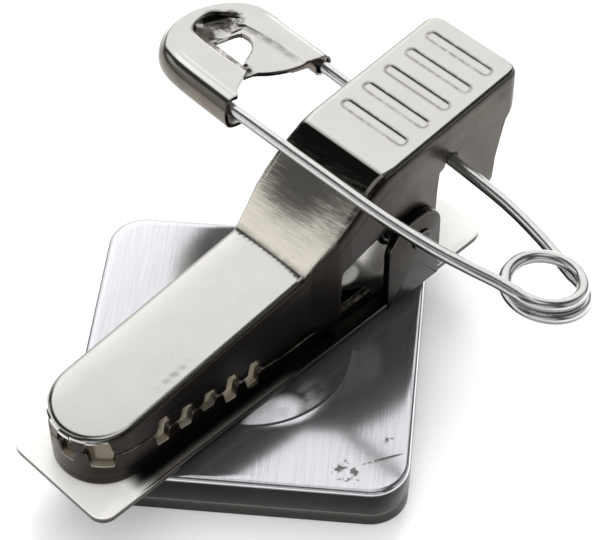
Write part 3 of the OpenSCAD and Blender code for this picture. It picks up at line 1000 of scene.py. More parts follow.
@dataclass
class ThumbLever:
    """The upper jaw, neck and ribbed thumb pad, pressed from one sheet.

    slopes are the falls of pad, neck and jaw in degrees, groove is length, width and
    depth, and slot is the place and half width of the slot for the safety pin.
    """

    jaws: Jaws = field(default_factory=Jaws)
    half_pad: float = 3.95
    rear: float = -21.4
    crease: Pair = (-1.74, 11.75)
    bend_x: float = -8.54
    slopes: Triple = (5.8, 35.5, 6.9)
    groove: Triple = (5.6, 0.74, 0.055)
    groove_row: tuple[float, float, int] = (-11.4, -2.02, 5)
    crown: float = 0.1
    soften: Pair = (0.0004, 0.0008)
    knurl_pitch: float = 0.43
    worn_spot: Pair = (8.7, 2.35)
    hinge: Pair = (-11.4, 9.2)
    lobe_r: float = 2.05
    slot: Triple = (-14.75, 13.9, 0.6)

    def profile(self, x: np.ndarray) -> np.ndarray:
        """Find the height of the middle line: the pad's slope, a bowed neck and the jaw's slope.

        The neck goes through the heights in knots. Bend and crease are crisp: the
        lower of pad and neck is (a + b - sqrt((a - b)^2 + e)) / 2, and the higher of
        neck and jaw has a plus before the root, with the two numbers e in soften.

        Args:
            x: places along the clip.

        Returns:
            The heights.
        """
        pad, neck, jaw = (-math.tan(math.radians(a)) for a in self.slopes)
        bend_z = self.crease[1] - neck * (self.crease[0] - self.bend_x)
        knots = np.array([(-9.6, 16.97), (-8.54, 16.62), (-7.8, 16.3), (-7.0, 15.87), (-6.2, 15.34), (-5.4, 14.72),
                          (-4.6, 14.05), (-3.8, 13.38), (-3.0, 12.73), (-2.2, 12.09), (-1.74, 11.75), (-0.8, 11.05)])
        fine = smooth_path(np.column_stack([knots, np.zeros(len(knots))]), 400)
        bowed = np.interp(x, fine[:, 0], fine[:, 1])
        flat = bend_z + pad * (x - self.bend_x)
        low = (flat + bowed - np.sqrt((flat - bowed) ** 2 + self.soften[0])) / 2
        rear = np.where(x < -9.5, flat, low)
        front = self.crease[1] + jaw * (x - self.crease[0])
        high = (rear + front + np.sqrt((rear - front) ** 2 + self.soften[1])) / 2
        return np.where(x < -0.9, high, front)

    def groove_gap(self, x: np.ndarray, y: np.ndarray) -> np.ndarray:
        """Find the distance to the middle line of the nearest groove.

        Args:
            x, y: places in plan.

        Returns:
            The distances, in the places' shape.
        """
        first, step, count = self.groove_row
        length, width, _ = self.groove
        beyond = np.maximum(np.abs(y) - (length - width) / 2, 0)
        return np.hypot(x[..., None] - first - step * np.arange(count), beyond[..., None]).min(axis=-1)

    def top(self, x: np.ndarray, y: np.ndarray) -> np.ndarray:
        """Find the height of the outer face: profile, slight crown, grooves, knurled crease and a nick.

        The crown falls with |y| to the power 2.5 over the jaw. The knurl is a ridge and
        a hollow, bell curves of v = x - crease, with a cosine along y on the ridge.

        Args:
            x, y: places in plan.

        Returns:
            The heights.
        """
        crown = self.crown * (np.abs(y) / self.jaws.half_width) ** 2.5 * np.clip(x + 2.4, 0, 1)
        z = self.profile(x) - crown
        _, width, depth = self.groove
        z = z - depth * ease((width / 2 + 0.03 - self.groove_gap(x, y)) / 0.15)
        v = x - self.crease[0]
        rope = 0.5 + 0.5 * np.cos(2 * np.pi * (y / self.knurl_pitch + v * 0.6))
        z = z + (0.014 + 0.012 * rope) * np.exp(-((v - 0.05) / 0.17) ** 2)
        z = z - 0.025 * np.exp(-((v + 0.2) / 0.1) ** 2)
        nick = np.exp(-((x - 9.3) / 0.5) ** 2 - ((y - 2.3) / 0.22) ** 2) * (0.5 + 0.5 * np.cos(9 * x))
        return z - 0.012 * nick

    def grime_and_shade(self, x: np.ndarray, y: np.ndarray) -> np.ndarray:
        """Find the painted shade and soil: painted shade in bell curves about the grooves' outlines and along the
        crease, and soil over the nicked spot.

        Args:
            x, y: places in plan, shape (n,).

        Returns:
            The shares, from 0 to 1.
        """
        ring = np.exp(-((self.groove_gap(x, y) - self.groove[1] / 2) / 0.11) ** 2)
        crease = np.exp(-((x - self.crease[0] + 0.1) / 0.2) ** 2)
        u, v = x - self.worn_spot[0], y - self.worn_spot[1]
        spot = np.exp(-(u / 0.95) ** 2 - (v / 0.2) ** 2) * (0.6 + 0.4 * np.cos(9 * x + 4 * y))
        return np.maximum(np.maximum(0.75 * ring, 0.5 * crease), 0.7 * spot)

    def lower_edge(self, x: np.ndarray, y: np.ndarray) -> np.ndarray:
        """Find the height of the walls' lower edge: a polyline by x with hinge lobe, slot and teeth.

        Lobe and slot are half circles: the lobe z = h - sqrt(r^2 - (x - h_x)^2) where
        that is lower, the slot with a plus where it is higher. A bell-shaped mean over
        0.12 mm softens the line.

        Args:
            x, y: outline points, shape (n,).

        Returns:
            The heights.
        """
        fine = np.arange(-22.5, 4.0, 0.01)
        jaw = self.jaws
        nodes = np.array([(-21.4, 16.4), (-20.9, 14.7), (-20.1, 13.8), (-19.7, 12.3), (-19.3, 10.6), (-19.2, 8.9),
                          (-18.7, 8.4), (-18.2, 8.8), (-15.66, 12.65), (-15.65, 13.1), (-15.2, 13.55),
                          (-14.3, 13.6), (-13.62, 13.3), (-13.45, 11.3), (-13.44, 9.2), (-9.36, 9.2),
                          (-9.35, 11.4), (-8.3, 11.45), (-7.0, 11.15), (-6.0, 10.85), (-4.9, 10.5), (-4.6, 10.2),
                          (-4.5, 5.79), (0.0, 5.79), (4.0, jaw.part_line(4.0) + jaw.part_gap)])
        z = np.interp(fine, nodes[:, 0], nodes[:, 1])
        lobe = self.lobe_r**2 - (fine - self.hinge[0]) ** 2
        z = np.where(lobe > 0, np.minimum(z, self.hinge[1] - np.sqrt(np.maximum(lobe, 0))), z)
        arch = self.slot[2]**2 - (fine - self.slot[0]) ** 2
        z = np.where(arch > 0, np.maximum(z, self.slot[1] + np.sqrt(np.maximum(arch, 0))), z)
        bell = np.hanning(13)
        soft = np.convolve(np.pad(z, 6, mode="edge"), bell / bell.sum(), mode="valid")
        low = np.where(x < jaw.teeth_from, np.interp(x, fine, soft), jaw.part_line(x) + jaw.part_gap)
        return low + jaw.notches(x, y, 0.0)

    def build(self) -> None:
        """Build and dress the lever, its rear edge open between the pad's two corners."""
        plan, spine = lever_plan(self.jaws.half_width, self.half_pad, self.rear, 1.1, self.jaws.tip)
        walled = np.where((plan.x < self.rear + 0.01) & (np.abs(plan.y) < 2.8), 0.0, 1.0)
        free = plan.inset(0.45)
        low = np.where(walled > 0, self.lower_edge(plan.x, plan.y), self.top(free[:, 0], free[:, 1]) - self.jaws.sheet)
        roll = np.interp(plan.x, [-9.5, -8.0, -5.0, -2.6], [0.45, 0.75, 0.7, 0.42])
        shell = pressed_shell(plan, spine, self.top, low, self.jaws.sheet, roll, walled, rows=(40, 7))
        shell = replace(shell, grime_and_shade=self.grime_and_shade(shell.points[:, 0], shell.points[:, 1]) * (1 - shell.inner))
        dress(make_piece("thumb_lever", [shell], rim=True), Body.LEVER, "upper_lever",
              Nickel("lever_nickel", neck=True).material())


@dataclass
class BadgeClip:
    """The clip on the base: plate, lower jaw, rivet, hinge pin and spring.

    plate is its two ends and its width, ears are their two ends and their top, and
    spring is radius, half length, turns and wire radius.
    """

    jaws: Jaws = field(default_factory=Jaws)
    plate: Triple = (-18.2, 17.2, 9.1)
    plate_z: float = 4.35
    plate_t: float = 0.6
    ears: Triple = (-13.3, -8.3, 11.5)
    ear_in: float = 4.05
    ease_in: Pair = (0.14, 0.04)
    hole_r: float = 1.3
    hinge: Pair = (-11.4, 9.2)
    tray_rear: float = -4.4
    coil: tuple[float, float, float, float] = (1.6, 2.45, 8.75, 0.27)

    def eased(self, low: float, high: float) -> list[Pair]:
        """Pairs of inset and level for a sheet from low to high with both edges eased."""
        far, near = self.ease_in
        return [(far, low), (near, low + near), (0, low + far), (0, high - far), (near, high - near), (far, high)]

    def back_plate(self) -> Surface:
        """Loft the plate from its edge to the rivet's hole, both faces.

        Returns:
            The closed plate.
        """
        x0, x1, w = self.plate
        plan = round_rect(x0, x1, -w / 2, w / 2, 1.1, 60, 10)
        z0, z1 = self.plate_z, self.plate_z + self.plate_t
        rings = [lift(plan.inset(d), np.full(len(plan.x), z)) for d, z in self.eased(z0, z1)]
        hole = self.hole_r * plan.inset(0) / np.linalg.norm(plan.inset(0), axis=1)[:, None]
        rings += [lift(hole, np.full(len(hole), z)) for z in (z1, z0)]
        return skin(np.array(rings), loop=True)

    def ear(self, side: float) -> Surface:
        """Build one ear: a flat tab with rounded top corners, folded up from the plate.

        Its outline in x and z is carried along y from the inner face to the outer one.

        Args:
            side: 1 for the ear at positive y and -1 for the other.

        Returns:
            The closed ear.
        """
        x0, x1, top = self.ears
        plan = round_rect(x0, x1, self.plate_z + 0.05, top, (2.2, 1.9, 0.1, 0.1), 10, 14)
        rings = [np.stack([plan.inset(d)[:, 0], np.full(len(plan.x), side * (self.ear_in + y)), plan.inset(d)[:, 1]],
                          axis=-1) for d, y in self.eased(0, self.plate_t)]
        return skin(np.array(rings))

    def lower_jaw(self) -> Surface:
        """Press the toothed tray, its floor below its walls, its rim darkened with painted shade but in the notches.

        Returns:
            The closed tray, with its marks.
        """
        jaw = self.jaws
        plan, _ = lever_plan(jaw.half_width, jaw.half_width, self.tray_rear, 0.3, jaw.tip)
        spine = np.stack([np.clip(plan.x, self.tray_rear + 0.6, jaw.tip), np.zeros_like(plan.x)], axis=-1)
        cut = jaw.notches(plan.x, plan.y, 0.25)
        walled = np.where((np.abs(plan.y) < 2.9) & (plan.x < self.tray_rear + 0.1), 0.0, 1.0)
        low = np.where(walled > 0, jaw.part_line(np.maximum(plan.x, 0)) - jaw.part_gap - cut, 5.5)
        shell = pressed_shell(plan, spine, self.tray_floor, low, jaw.sheet, 0.3, walled, way=-1.0)
        # Painted shade on the tray's rim and walls, fading out in the notches.
        soiled_and_shaded = np.tile(1 - np.clip(cut / 0.7, 0, 1) ** 2, len(shell.points) // len(plan.x)) * (1 - shell.inner)
        return replace(shell, grime_and_shade=soiled_and_shaded)

    def tray_floor(self, x: np.ndarray, y: np.ndarray) -> np.ndarray:
        """Height of the tray's underside, level everywhere."""
        return np.full(np.broadcast(x, y).shape, self.plate_z + self.plate_t + 0.05)

    def rivet(self) -> Surface:
        """Turn the swivel rivet's profile.

        Returns:
            The closed rivet.
        """
        return lathe([(0.4, 1.9), (1.9, 1.9), (2.1, 2.1), (2.1, 2.4), (1.25, 2.5), (1.25, 3.27), (2.2, 3.27),
                      (2.4, 3.45), (2.4, 4.1), (2.2, 4.3), (1.25, 4.3), (1.25, 5.55), (2.0, 5.55), (2.1, 5.62),
                      (2.05, 5.8), (1.7, 5.94), (0.8, 6.0), (0.3, 6.0)])

    def hinge_pin(self) -> Surface:
        """Turn the hinge pin, headed at both ends, and lay it along Y.

        Returns:
            The closed pin.
        """
        out = self.ear_in + self.plate_t
        half = [(0.0, 0.6), (out + 0.05, 0.6), (out + 0.05, 0.8), (out + 0.1, 0.85), (out + 0.17, 0.82),
                (out + 0.22, 0.6), (out + 0.24, 0.3)]
        s = lathe([(r, -y) for y, r in half[::-1]] + [(r, y) for y, r in half[1:]], 48)
        x, y, z = s.points.T
        return replace(s, points=np.stack([x + self.hinge[0], z, y + self.hinge[1]], axis=-1))

    def spring(self) -> Surface:
        """Wind the closing spring: a helix round the hinge pin with a leg at each end.

        The helix is (r cos a, h - 2 h t, r sin a), its angle a growing with t.

        Returns:
            The closed wire.
        """
        r, h, turns, wire = self.coil
        t = np.linspace(0, 1, 360)
        a = np.radians(210) + 2 * np.pi * turns * t
        helix = np.stack([self.hinge[0] + r * np.cos(a), h - 2 * h * t, self.hinge[1] + r * np.sin(a)], axis=-1)
        up = np.stack([np.full(14, -13.0), np.full(14, h), np.linspace(15.8, 9.9, 14)], axis=-1)
        down = np.stack([np.linspace(-11.5, -13.2, 8), np.full(8, -h), np.linspace(7.5, 5.4, 8)], axis=-1)
        return tube(np.concatenate([up, helix[6:-6], down]), np.array(wire), (0, 1, 0), 10)

    def build(self) -> None:
        """Build and dress the clip."""
        ends = (((16.9, 0.0, 4.95), (4.3, 40.0, 4.0)), ((-18.5, 0.0, 4.95), (6.0, 40.0, 4.0)))
        hazes = (*ends, ((-8.2, 0.6, 4.95), (1.5, 1.1, 2.0)))
        # The clip's side colour is painted shade on its walls and ears.
        sheet = Nickel("clip_nickel", side_shade=(0.026, 0.023, 0.02), foot=True, hazes=hazes).material()
        # The tray's darker top and its near-black mark colour are painted shade.
        dark = Nickel("tray_nickel", top=(0.4, 0.36, 0.29), side_shade=(0.022, 0.018, 0.015), dirt_and_shade=(0.03, 0.025, 0.02),
                      metal=0.6).material()
        # The spring and hinge pin wire is near black: painted shade, as they sit under the lever.
        wire = DrawnWire("spring_wire", (0.13, 0.12, 0.11), 0.3).material()
        for name, surfaces, node, slot, material in (
                ("clip_plate", [self.back_plate(), self.ear(1.0), self.ear(-1.0)], "back_plate", "nickel_sheet", sheet),
                ("toothed_tray", [self.lower_jaw()], "lower_jaw", "nickel_sheet", dark),
                ("turning_rivet", [self.rivet()], "swivel_rivet", "nickel_sheet", sheet),
                ("hinge_rod", [self.hinge_pin()], "hinge_pin", "spring_steel", wire),
                ("closing_spring", [self.spring()], "spring", "spring_steel", wire)):
            dress(make_piece(name, surfaces), Body.CLIP, node, material)


@dataclass
class SafetyPin:
    """The safety pin: one bent wire and the sheet cap over its point.

    Its own frame lies in the pin's plane, y along the fixed arm and x towards the
    needle. place, tilt and yaw put it on the clip, and wire is the wire's radius.
    """

    wire: float = 0.425
    place: Triple = (-14.8, 0.0, 13.9)
    tilt: float = 12.0
    yaw: float = 2.6
    coil: tuple[float, float, float, float] = (4.5, 16.65, 2.55, 0.9)
    point: float = 2.6
    hole: Pair = (4.9, -12.6)
    hole_right: float = 5.35
    cap_z: float = 0.9

    def world_points(self, points: np.ndarray) -> np.ndarray:
        """Move points from the pin's own frame into the clip's: turned about Z, then about Y, then placed.

        Args:
            points: array of shape (n, 3).

        Returns:
            The moved points.
        """
        c, n = math.cos(math.radians(-self.yaw)), math.sin(math.radians(-self.yaw))
        turn = np.array([[c, -n, 0], [n, c, 0], [0, 0, 1]])
        c, n = math.cos(math.radians(-self.tilt)), math.sin(math.radians(-self.tilt))
        lean = np.array([[c, 0, n], [0, 1, 0], [-n, 0, c]])
        return points @ (lean @ turn).T + np.array(self.place)

    def wire_path(self) -> np.ndarray:
        """Draw the middle line: fixed arm, one and a half turns of coil, and the bowed needle.

        In the coil the angle falls from 180 to -360 degrees while the centre, the
        radius and the height go smoothly from the lower turn's to the upper one's.

        Returns:
            The points, shape (n, 3).
        """
        x, y, radius, lift_z = self.coil
        arm = smooth_path([(0, -15.6, 0), (0, -6, 0), (0, 6, 0), (0.25, 9.6, 0), (0.95, 13.2, 0), (1.95, y, 0)], 90)
        t = np.linspace(0, 1, 150)
        a = np.radians(180 - 540 * t)
        rise = ease((t - 0.30) / 0.4)
        r = radius - 0.1 * rise
        turns = np.stack([x + 0.25 * rise + r * np.cos(a), y - 0.15 * rise + r * np.sin(a), lift_z * rise], axis=-1)
        needle = smooth_path([(7.2, 16.5, lift_z), (7.42, 15.0, 0.87), (7.75, 13.4, 0.78), (8.2, 10.4, 0.54),
                              (8.5, 7.4, 0.42), (8.75, 0, 0.25), (8.86, -6, 0.12), (8.9, -11, 0), (8.75, -12.4, 0),
                              (8.5, -13.6, 0)], 130)
        return np.concatenate([arm[:-1], turns, needle[1:]])

    def wire_surface(self) -> Surface:
        """Carry the wire along its path: near the needle's end, at distance d, its radius is r (d / point)^0.8.

        Returns:
            The closed wire.
        """
        path = self.wire_path()
        end = np.linalg.norm(path - path[-1], axis=1)
        on_needle = np.arange(len(path)) > 200
        radius = np.where(on_needle, self.wire * np.clip(end / self.point + 0.06, 0, 1) ** 0.8, self.wire)
        return tube(path, radius, (0, 0, 1), 20)

    def hole_edge(self, angle: np.ndarray) -> np.ndarray:
        """Find the edge of the cap's hole: (r cos a, r sin a) from its middle, cut off at hole_right.

        Args:
            angle: angles a in degrees.

        Returns:
            The edge's points, shape (n, 2).
        """
        at = [-151.0, -127.0, -104.0, -86.0, -47.0, -25.5, 0.0, 27.5, 53.0, 74.7, 95.0, 118.0, 140.0, 158.6, 177.0,
              193.5]
        radius = [2.22, 2.0, 1.55, 1.4, 1.75, 2.3, 2.4, 2.55, 2.4, 1.75, 1.3, 1.2, 1.28, 1.45, 1.8, 2.08]
        r, a = np.interp(angle, at, radius, period=360.0), np.radians(angle)
        x = np.minimum(self.hole[0] + r * np.cos(a), self.hole_right)
        return np.stack([x, self.hole[1] + r * np.sin(a)], axis=-1)

    def cap_top(self, x: np.ndarray, y: np.ndarray) -> np.ndarray:
        """Find the height of the cap's upper sheet.

        Eased steps are taken off cap_z: a hollow behind the hole, a drop under the
        hood, a step down from the sleeve, the sleeve's own roll and a turned-in edge
        round the hole.

        Args:
            x, y: places in the pin's own frame.

        Returns:
            The heights.
        """
        z = np.full(np.broadcast(x, y).shape, self.cap_z)
        z -= 0.5 * ease(1.6 - np.hypot((x - 4.0) / 1.75, (y + 15.3) / 1.05))
        z -= 0.32 * ease((x - 5.1) / 0.7) * np.clip((-9.6 - y) / 0.4, 0, 1)
        fold = np.interp(y, [-14.59, -12.93, -11.11, -9.12], [2.4, 2.07, 1.83, 1.77])
        z -= 0.2 * ease((x - fold) / 0.5 + 0.5) * np.clip(y + 15.4, 0, 1)
        z -= 0.3 * np.clip((0.95 - x) / 1.5, 0, 1) ** 2
        edge = self.hole_edge(np.arange(0.0, 360.0, 5.0))
        gap = np.hypot(x[..., None] - edge[:, 0], y[..., None] - edge[:, 1]).min(axis=-1)
        return z - 0.16 * np.clip(1 - gap / 0.42, 0, 1) ** 2

    def cap_plate(self) -> Surface:
        """Press the cap's upper sheet: the head inside its rim, the web and the sleeve's top, with the hole.

        Its outline is a smooth line through knots, its normals square to the line from
        the point before to the point after.

        Returns:
            The closed sheet, with its marks.
        """
        knots = np.array([(-0.6, -12.6), (-0.58, -14.4), (-0.2, -15.6), (0.7, -16.4), (2.1, -16.9), (3.6, -17.15),
                          (5.0, -17.0), (6.3, -16.5), (7.4, -15.7), (8.2, -14.6), (8.6, -13.4), (8.75, -12.0),
                          (8.75, -10.0), (8.6, -8.8), (7.7, -9.25), (6.5, -9.8), (5.8, -9.68), (4.6, -9.1),
                          (3.4, -8.72), (2.0, -8.55), (0.6, -8.45), (-0.3, -8.5), (-0.6, -8.85), (-0.62, -10.5),
                          (-0.6, -12.0)])
        p = smooth_path(np.column_stack([knots, np.zeros(len(knots))]), 230)[:, :2]
        d = np.roll(p, -1, axis=0) - np.roll(p, 1, axis=0)
        n = np.stack([d[:, 1], -d[:, 0]], axis=-1) / np.linalg.norm(d, axis=1)[:, None]
        x, y = p.T
        hole = self.hole_edge(np.degrees(np.arctan2(y - self.hole[1], x - self.hole[0])))
        web = (y > -10.0) & (x < 7.6)
        low = np.where(web, np.where(x > 2.9, 0.43, 0.33), 0.15)
        low = np.where((x < 0.5) & (y < -8.6), -0.4, low)
        shell = pressed_shell(Plan(x, y, n[:, 0], n[:, 1]), hole, self.cap_top, low, 0.3, np.where(x < 0.3, 0.3, 0.16),
                              np.zeros(len(p)), hole=True, rows=(40, 8))
        return replace(shell, grime_and_shade=self.grime_and_shade(shell.points[:, 0], shell.points[:, 1]))

    def grime_and_shade(self, x: np.ndarray, y: np.ndarray) -> np.ndarray:
        """Find the painted shade: along the fold, beside the hood's inner edge and in the hollow's left end.

        Args:
            x, y: places in the pin's own frame, shape (n,).

        Returns:
            The shares, from 0 to 1.
        """
        fold = np.interp(y, [-15.6, -14.59, -12.93, -11.11, -9.12], [2.7, 2.4, 2.07, 1.83, 1.77]) + 0.12
        wide = np.where(x > fold, 0.3, 0.14)
        along = np.exp(-((x - fold) / wide) ** 2) * np.clip((-8.8 - y) / 1.2, 0, 1) * np.clip(y + 16.2, 0, 1)
        beside = np.clip((x - 5.0) / 0.4, 0, 1) * np.clip((-9.6 - y) / 0.6, 0, 1)
        hollow = np.clip(1.25 - np.hypot((x - 4.4) / 1.6, (y + 15.5) / 0.9), 0, 1)
        return np.maximum(np.maximum(0.62 * along, 0.9 * beside), 0.6 * hollow)

    def hood(self) -> Surface:
        """Fold one sheet into the hood over the point and the rim round the head.

        A section (w, q, z) is carried from the hood's near end round the head. Each of
        its points is inner + w (outer - inner) + q n at height z, where inner and outer
        are the edges of the sheet's top and n is the way out from the outer one. A knot
        of the path is inner x, y, outer x, y, bulge, lip and drop: bulge scales q
        outwards, lip scales it under the sheet, and drop lowers what is above 0.

        Returns:
            The closed sheet.
        """
        knots = np.array([
            (5.96, -9.87, 8.98, -7.96, 1.0, 1.0, 0.0), (6.08, -10.9, 9.0, -9.6, 1.0, 1.0, 0.0),
            (6.1, -12.6, 9.02, -11.9, 1.0, 1.0, 0.0), (6.1, -14.2, 8.95, -13.7, 0.97, 0.9, 0.0),
            (6.03, -15.1, 8.55, -15.0, 0.88, 0.7, 0.0), (5.75, -15.75, 7.6, -16.1, 0.76, 0.5, 0.0),
            (5.15, -16.2, 6.4, -16.85, 0.65, 0.3, 0.0), (4.4, -16.42, 4.95, -17.25, 0.58, 0.2, 0.0),
            (3.6, -16.4, 3.6, -17.3, 0.58, 0.2, 0.0), (2.85, -16.1, 2.0, -17.05, 0.58, 0.2, 0.0),
            (2.2, -15.6, 0.6, -16.35, 0.55, 0.2, 0.03), (1.9, -15.0, -0.25, -15.3, 0.5, 0.2, 0.12),
            (1.8, -14.4, -0.5, -13.9, 0.4, 0.2, 0.3)])
        at = np.linspace(0, len(knots) - 1, 110)
        run = np.column_stack([knots, np.linspace(0, 1, len(knots))])
        rail = np.column_stack([np.interp(at, np.arange(len(run)), column) for column in run.T])
        bell = np.hanning(15) / np.hanning(15).sum()
        for k in range(7):
            rail[:, k] = np.convolve(np.pad(rail[:, k], 7, mode="reflect", reflect_type="odd"), bell, mode="valid")
        section = np.array([
            (0, 0.1, 0.6), (0, 0.0, 0.68), (0, 0.0, 0.78), (0, 0.06, 0.87), (0, 0.17, 0.93), (0, 0.32, 0.96),
            (0.3, 0, 0.975), (0.5, 0, 0.99), (0.7, 0, 1.0), (1, -0.5, 1.0), (1, -0.42, 0.975), (1, -0.35, 0.955),
            (1, -0.28, 0.975),
            (1, -0.16, 0.985), (1, -0.02, 0.965), (1, 0.1, 0.93), (1, 0.28, 0.85), (1, 0.45, 0.71), (1, 0.6, 0.52),
            (1, 0.7, 0.3), (1, 0.77, 0.05), (1, 0.78, -0.2), (1, 0.75, -0.5), (1, 0.66, -0.75), (1, 0.5, -0.96),
            (1, 0.28, -1.1), (1, 0.0, -1.17), (1, -0.3, -1.2), (1, -0.8, -1.2), (1, -1.6, -1.2)])
        w, q, z = section.T
        inner, outer, bulge, lip, drop, along = np.split(rail[:, None], [2, 4, 5, 6, 7], axis=2)
        bulge, lip, drop, along = (column[..., 0] for column in (bulge, lip, drop, along))
        t = np.gradient(rail[:, 2:4], axis=0)
        n = np.stack([-t[:, 1], t[:, 0]], axis=-1) / np.linalg.norm(t, axis=1)[:, None]
        width = np.linalg.norm(outer - inner, axis=2)
        narrow = np.minimum(width / 2.4, 1.0)
        q_here = np.where(q > 0, q * bulge, np.where((z < -1.0) & (q < 0), q * lip, q * narrow))
        q_here = np.where(w == 0, q * (0.5 + 0.5 * narrow), q_here)
        way = np.where((w < 0.5)[None, :, None], (outer - inner) / width[..., None], n[:, None])
        flat = inner + w[None, :, None] * (outer - inner) + q_here[..., None] * way
        flat[..., 1] += 0.45 * np.clip(1 - along / 0.1, 0, 1) * np.clip((0.9 - z) / 1.5, 0, 1)
        dent = np.exp(-((flat[..., 0] - 7.35) / 0.35) ** 2 - ((flat[..., 1] + 14.0) / 0.4) ** 2)
        dip = np.exp(-((q + 0.35) / 0.09) ** 2) * (w == 1) * (z > 0.9)
        high = np.where(z > 0.9, z - 0.06 * dent, z) - drop * (z > 0) + 0.035 * dip * (1 - lip)
        return slab(np.concatenate([flat, high[..., None]], axis=-1), 0.28)

    def sleeve(self) -> Surface:
        """Wrap the sheet round the fixed arm, from the web to past the head's middle: (r cos a, y, r sin a).

        Returns:
            The closed sheet.
        """
        a = np.radians(np.linspace(110, 395, 36))[None, :]
        y = np.linspace(-8.5, -15.7, 24)[:, None]
        r = self.wire + 0.19
        return slab(np.stack(np.broadcast_arrays(r * np.cos(a), y, r * np.sin(a)), axis=-1), 0.16)

    def build(self) -> None:
        """Build and dress the pin, wire first."""
        wire, *sheets = (replace(part, points=self.world_points(part.points)) for part in
                         (self.wire_surface(), self.cap_plate(), self.hood(), self.sleeve()))
        dress(make_piece("pin_wire_bent", [wire]), Body.PIN, "pin_wire",
              DrawnWire("wire_nickel").material())
        tilt = math.radians(self.tilt)
        # With steep 0.5, more of the hood's slopes take the painted side shade.
        hood = make_piece("pin_hood", sheets, up=(-math.sin(tilt), 0.0, math.cos(tilt)), steep=0.5)
        # Painted shade spots in the head's hollow and beside the hood's inner edge.
        spots = self.world_points(np.array([(3.6, -15.9, 0.5), (5.3, -15.2, 0.5), (2.6, -15.3, 0.5)]))
        shade_spots = tuple((tuple(spot), (1.5, 1.3, 1.3)) for spot in spots)
        finish = Nickel("cap_nickel", side_shade=(0.115, 0.103, 0.088), side_rough=0.2, shade_spots=shade_spots)
        dress(hood, Body.PIN, "pin_cap", finish.material())


# Stage: camera, floor and lights.

@dataclass(frozen=True)
class View:
    """The camera at the photograph's angle: degrees, metres, and a focal length in pixels."""

    azimuth: float = 135.709
    elevation: float = 48.405
    roll: float = -0.392
    distance: float = 0.148783
    focal_px: float = 2069.715
    width_px: float = 600.0
    sensor: float = 36.0
    target: Triple = (-0.009397, -0.004959, 0.0)

    def place(self) -> None:
        """Put the camera in the scene: it looks along -back at the target, rolled about that line."""
        az, el, roll = (math.radians(v) for v in (self.azimuth, self.elevation, self.roll))
        back = Vector((math.sin(az) * math.cos(el), -math.cos(az) * math.cos(el), math.sin(el)))
        right = (-back).cross(Vector((0, 0, 1))).normalized()
        up = right.cross(-back)
        right, up = (right * math.cos(roll) + up * math.sin(roll), up * math.cos(roll) - right * math.sin(roll))
        camera = bpy.data.cameras.new("camera")
        camera.sensor_width = self.sensor
        camera.lens = self.focal_px / self.width_px * self.sensor
        camera.clip_start = 0.01
        matrix = Matrix((right, up, back)).transposed().to_4x4()
        matrix.translation = Vector(self.target) + back * self.distance
        holder = add_object("camera", camera)
        holder.matrix_world = matrix
        bpy.context.scene.camera = holder


@dataclass(frozen=True)
class SoftBox:
    """A soft rectangular light that faces the object, its width along X.

    way points from the object to the plane that the light hangs in, distance metres
    away, and shift moves it in that plane. radiance is the brightness of its face.
    """

    name: str
    way: Triple
    size: Pair
    radiance: float
    distance: float = 0.5
    shift: Pair = (0.0, 0.0)

    def hang(self) -> None:
        """Put the light in the scene, its power pi times radiance times area."""
        light = bpy.data.lights.new(self.name, "AREA")
        light.shape = "RECTANGLE"
        light.size, light.size_y = self.size
        light.energy = self.radiance * math.pi * self.size[0] * self.size[1]
        d = Vector(self.way).normalized()
        u = (Vector((1, 0, 0)) - d * d.x).normalized()
        w = d.cross(u)
        matrix = Matrix((u, w, d)).transposed().to_4x4()
        matrix.translation = d * self.distance + u * self.shift[0] + w * self.shift[1]
        add_object(self.name, light).matrix_world = matrix


@dataclass(frozen=True)
class Sun:
    """Light for the floor and the dull metal, which bright metal doesn't mirror; spread in degrees."""

    name: str
    power: float
    spread: float
    way: Triple

    def hang(self) -> None:
        """Put the light in the scene, shining from its way."""
        light = bpy.data.lights.new(self.name, "SUN")
        light.energy = self.power
        light.angle = math.radians(self.spread)
        holder = add_object(self.name, light)
        holder.matrix_world = Vector(self.way).to_track_quat("Z", "Y").to_matrix().to_4x4()
        holder.visible_glossy = False


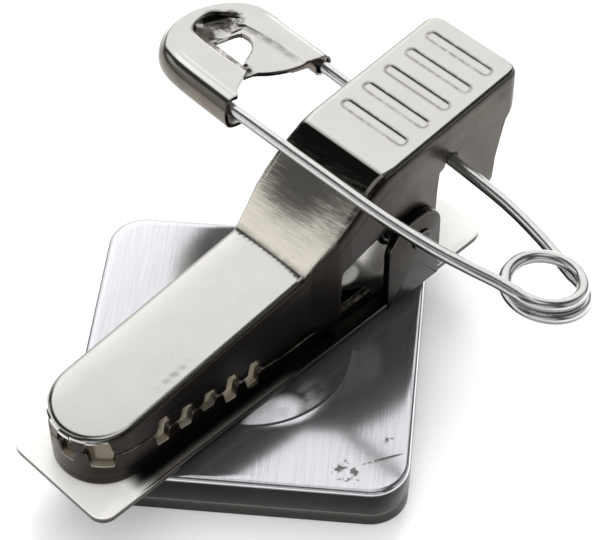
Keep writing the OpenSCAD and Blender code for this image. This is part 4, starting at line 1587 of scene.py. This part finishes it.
@dataclass(frozen=True)
class Studio:
    """A plain pale floor, a dim room, and the lights."""

    floor_half: float = 2.0
    room: tuple[float, float, float, float] = (0.9, 0.95, 1.0, 1.0)
    room_strength: float = 0.02
    lights: tuple["Sun | SoftBox", ...] = (
        Sun("sky", 2.0, 110.0, (0.1, 0.1, 1.0)),
        Sun("window", 1.6, 30.0, (-0.45, -0.45, 0.77)),
        Sun("flash", 1.0, 6.0, (0.463, 0.475, 0.748)),
        SoftBox("key", (-0.40, -0.42, 0.80), (0.79, 0.75), 0.85, shift=(-0.205, -0.175)),
        SoftBox("strip", (-0.40, -0.42, 0.80), (0.26, 0.06), 0.35, 0.45, (0.06, -0.1)),
        SoftBox("neck_card", (0.62, -0.48, 0.62), (0.2, 0.5), 0.28),
        SoftBox("top_card", (0.14, 0.16, 1.0), (0.34, 0.34), 0.6, 0.6),
        SoftBox("front_card", (0.66, 0.66, 0.34), (1.0, 0.5), 0.36, 0.9),
        SoftBox("left_card", (-0.66, 0.66, 0.34), (1.0, 0.5), 0.4, 0.9),
        SoftBox("right_card", (0.66, -0.66, 0.28), (1.0, 0.36), 0.6, 0.9))

    def floor(self) -> None:
        """Lay the floor under the base."""
        mesh = bpy.data.meshes.new("floor")
        s = self.floor_half
        mesh.from_pydata([(-s, -s, 0), (s, -s, 0), (s, s, 0), (-s, s, 0)], [], [(0, 1, 2, 3)])
        piece = add_object("floor", mesh)
        f = Finish("pale_floor")
        f.set("Base Color", (0.9, 0.9, 0.9, 1.0))
        f.set("Roughness", 0.8)
        mesh.materials.append(f.material)

    def build(self) -> None:
        """Set the floor, the room's own dim light and the lights."""
        self.floor()
        world = bpy.data.worlds.new("room")
        bpy.context.scene.world = world
        world.use_nodes = True
        back = world.node_tree.nodes["Background"]
        back.inputs["Color"].default_value = self.room
        back.inputs["Strength"].default_value = self.room_strength
        for light in self.lights:
            light.hang()
        bpy.context.scene.view_settings.view_transform = "Standard"


def main() -> None:
    """Build the clip, its stage and its camera."""
    logging.basicConfig(level=logging.INFO)
    View().place()
    SwivelBase().build()
    BadgeClip().build()
    ThumbLever().build()
    SafetyPin().build()
    Studio().build()


if __name__ == "__main__":
    main()
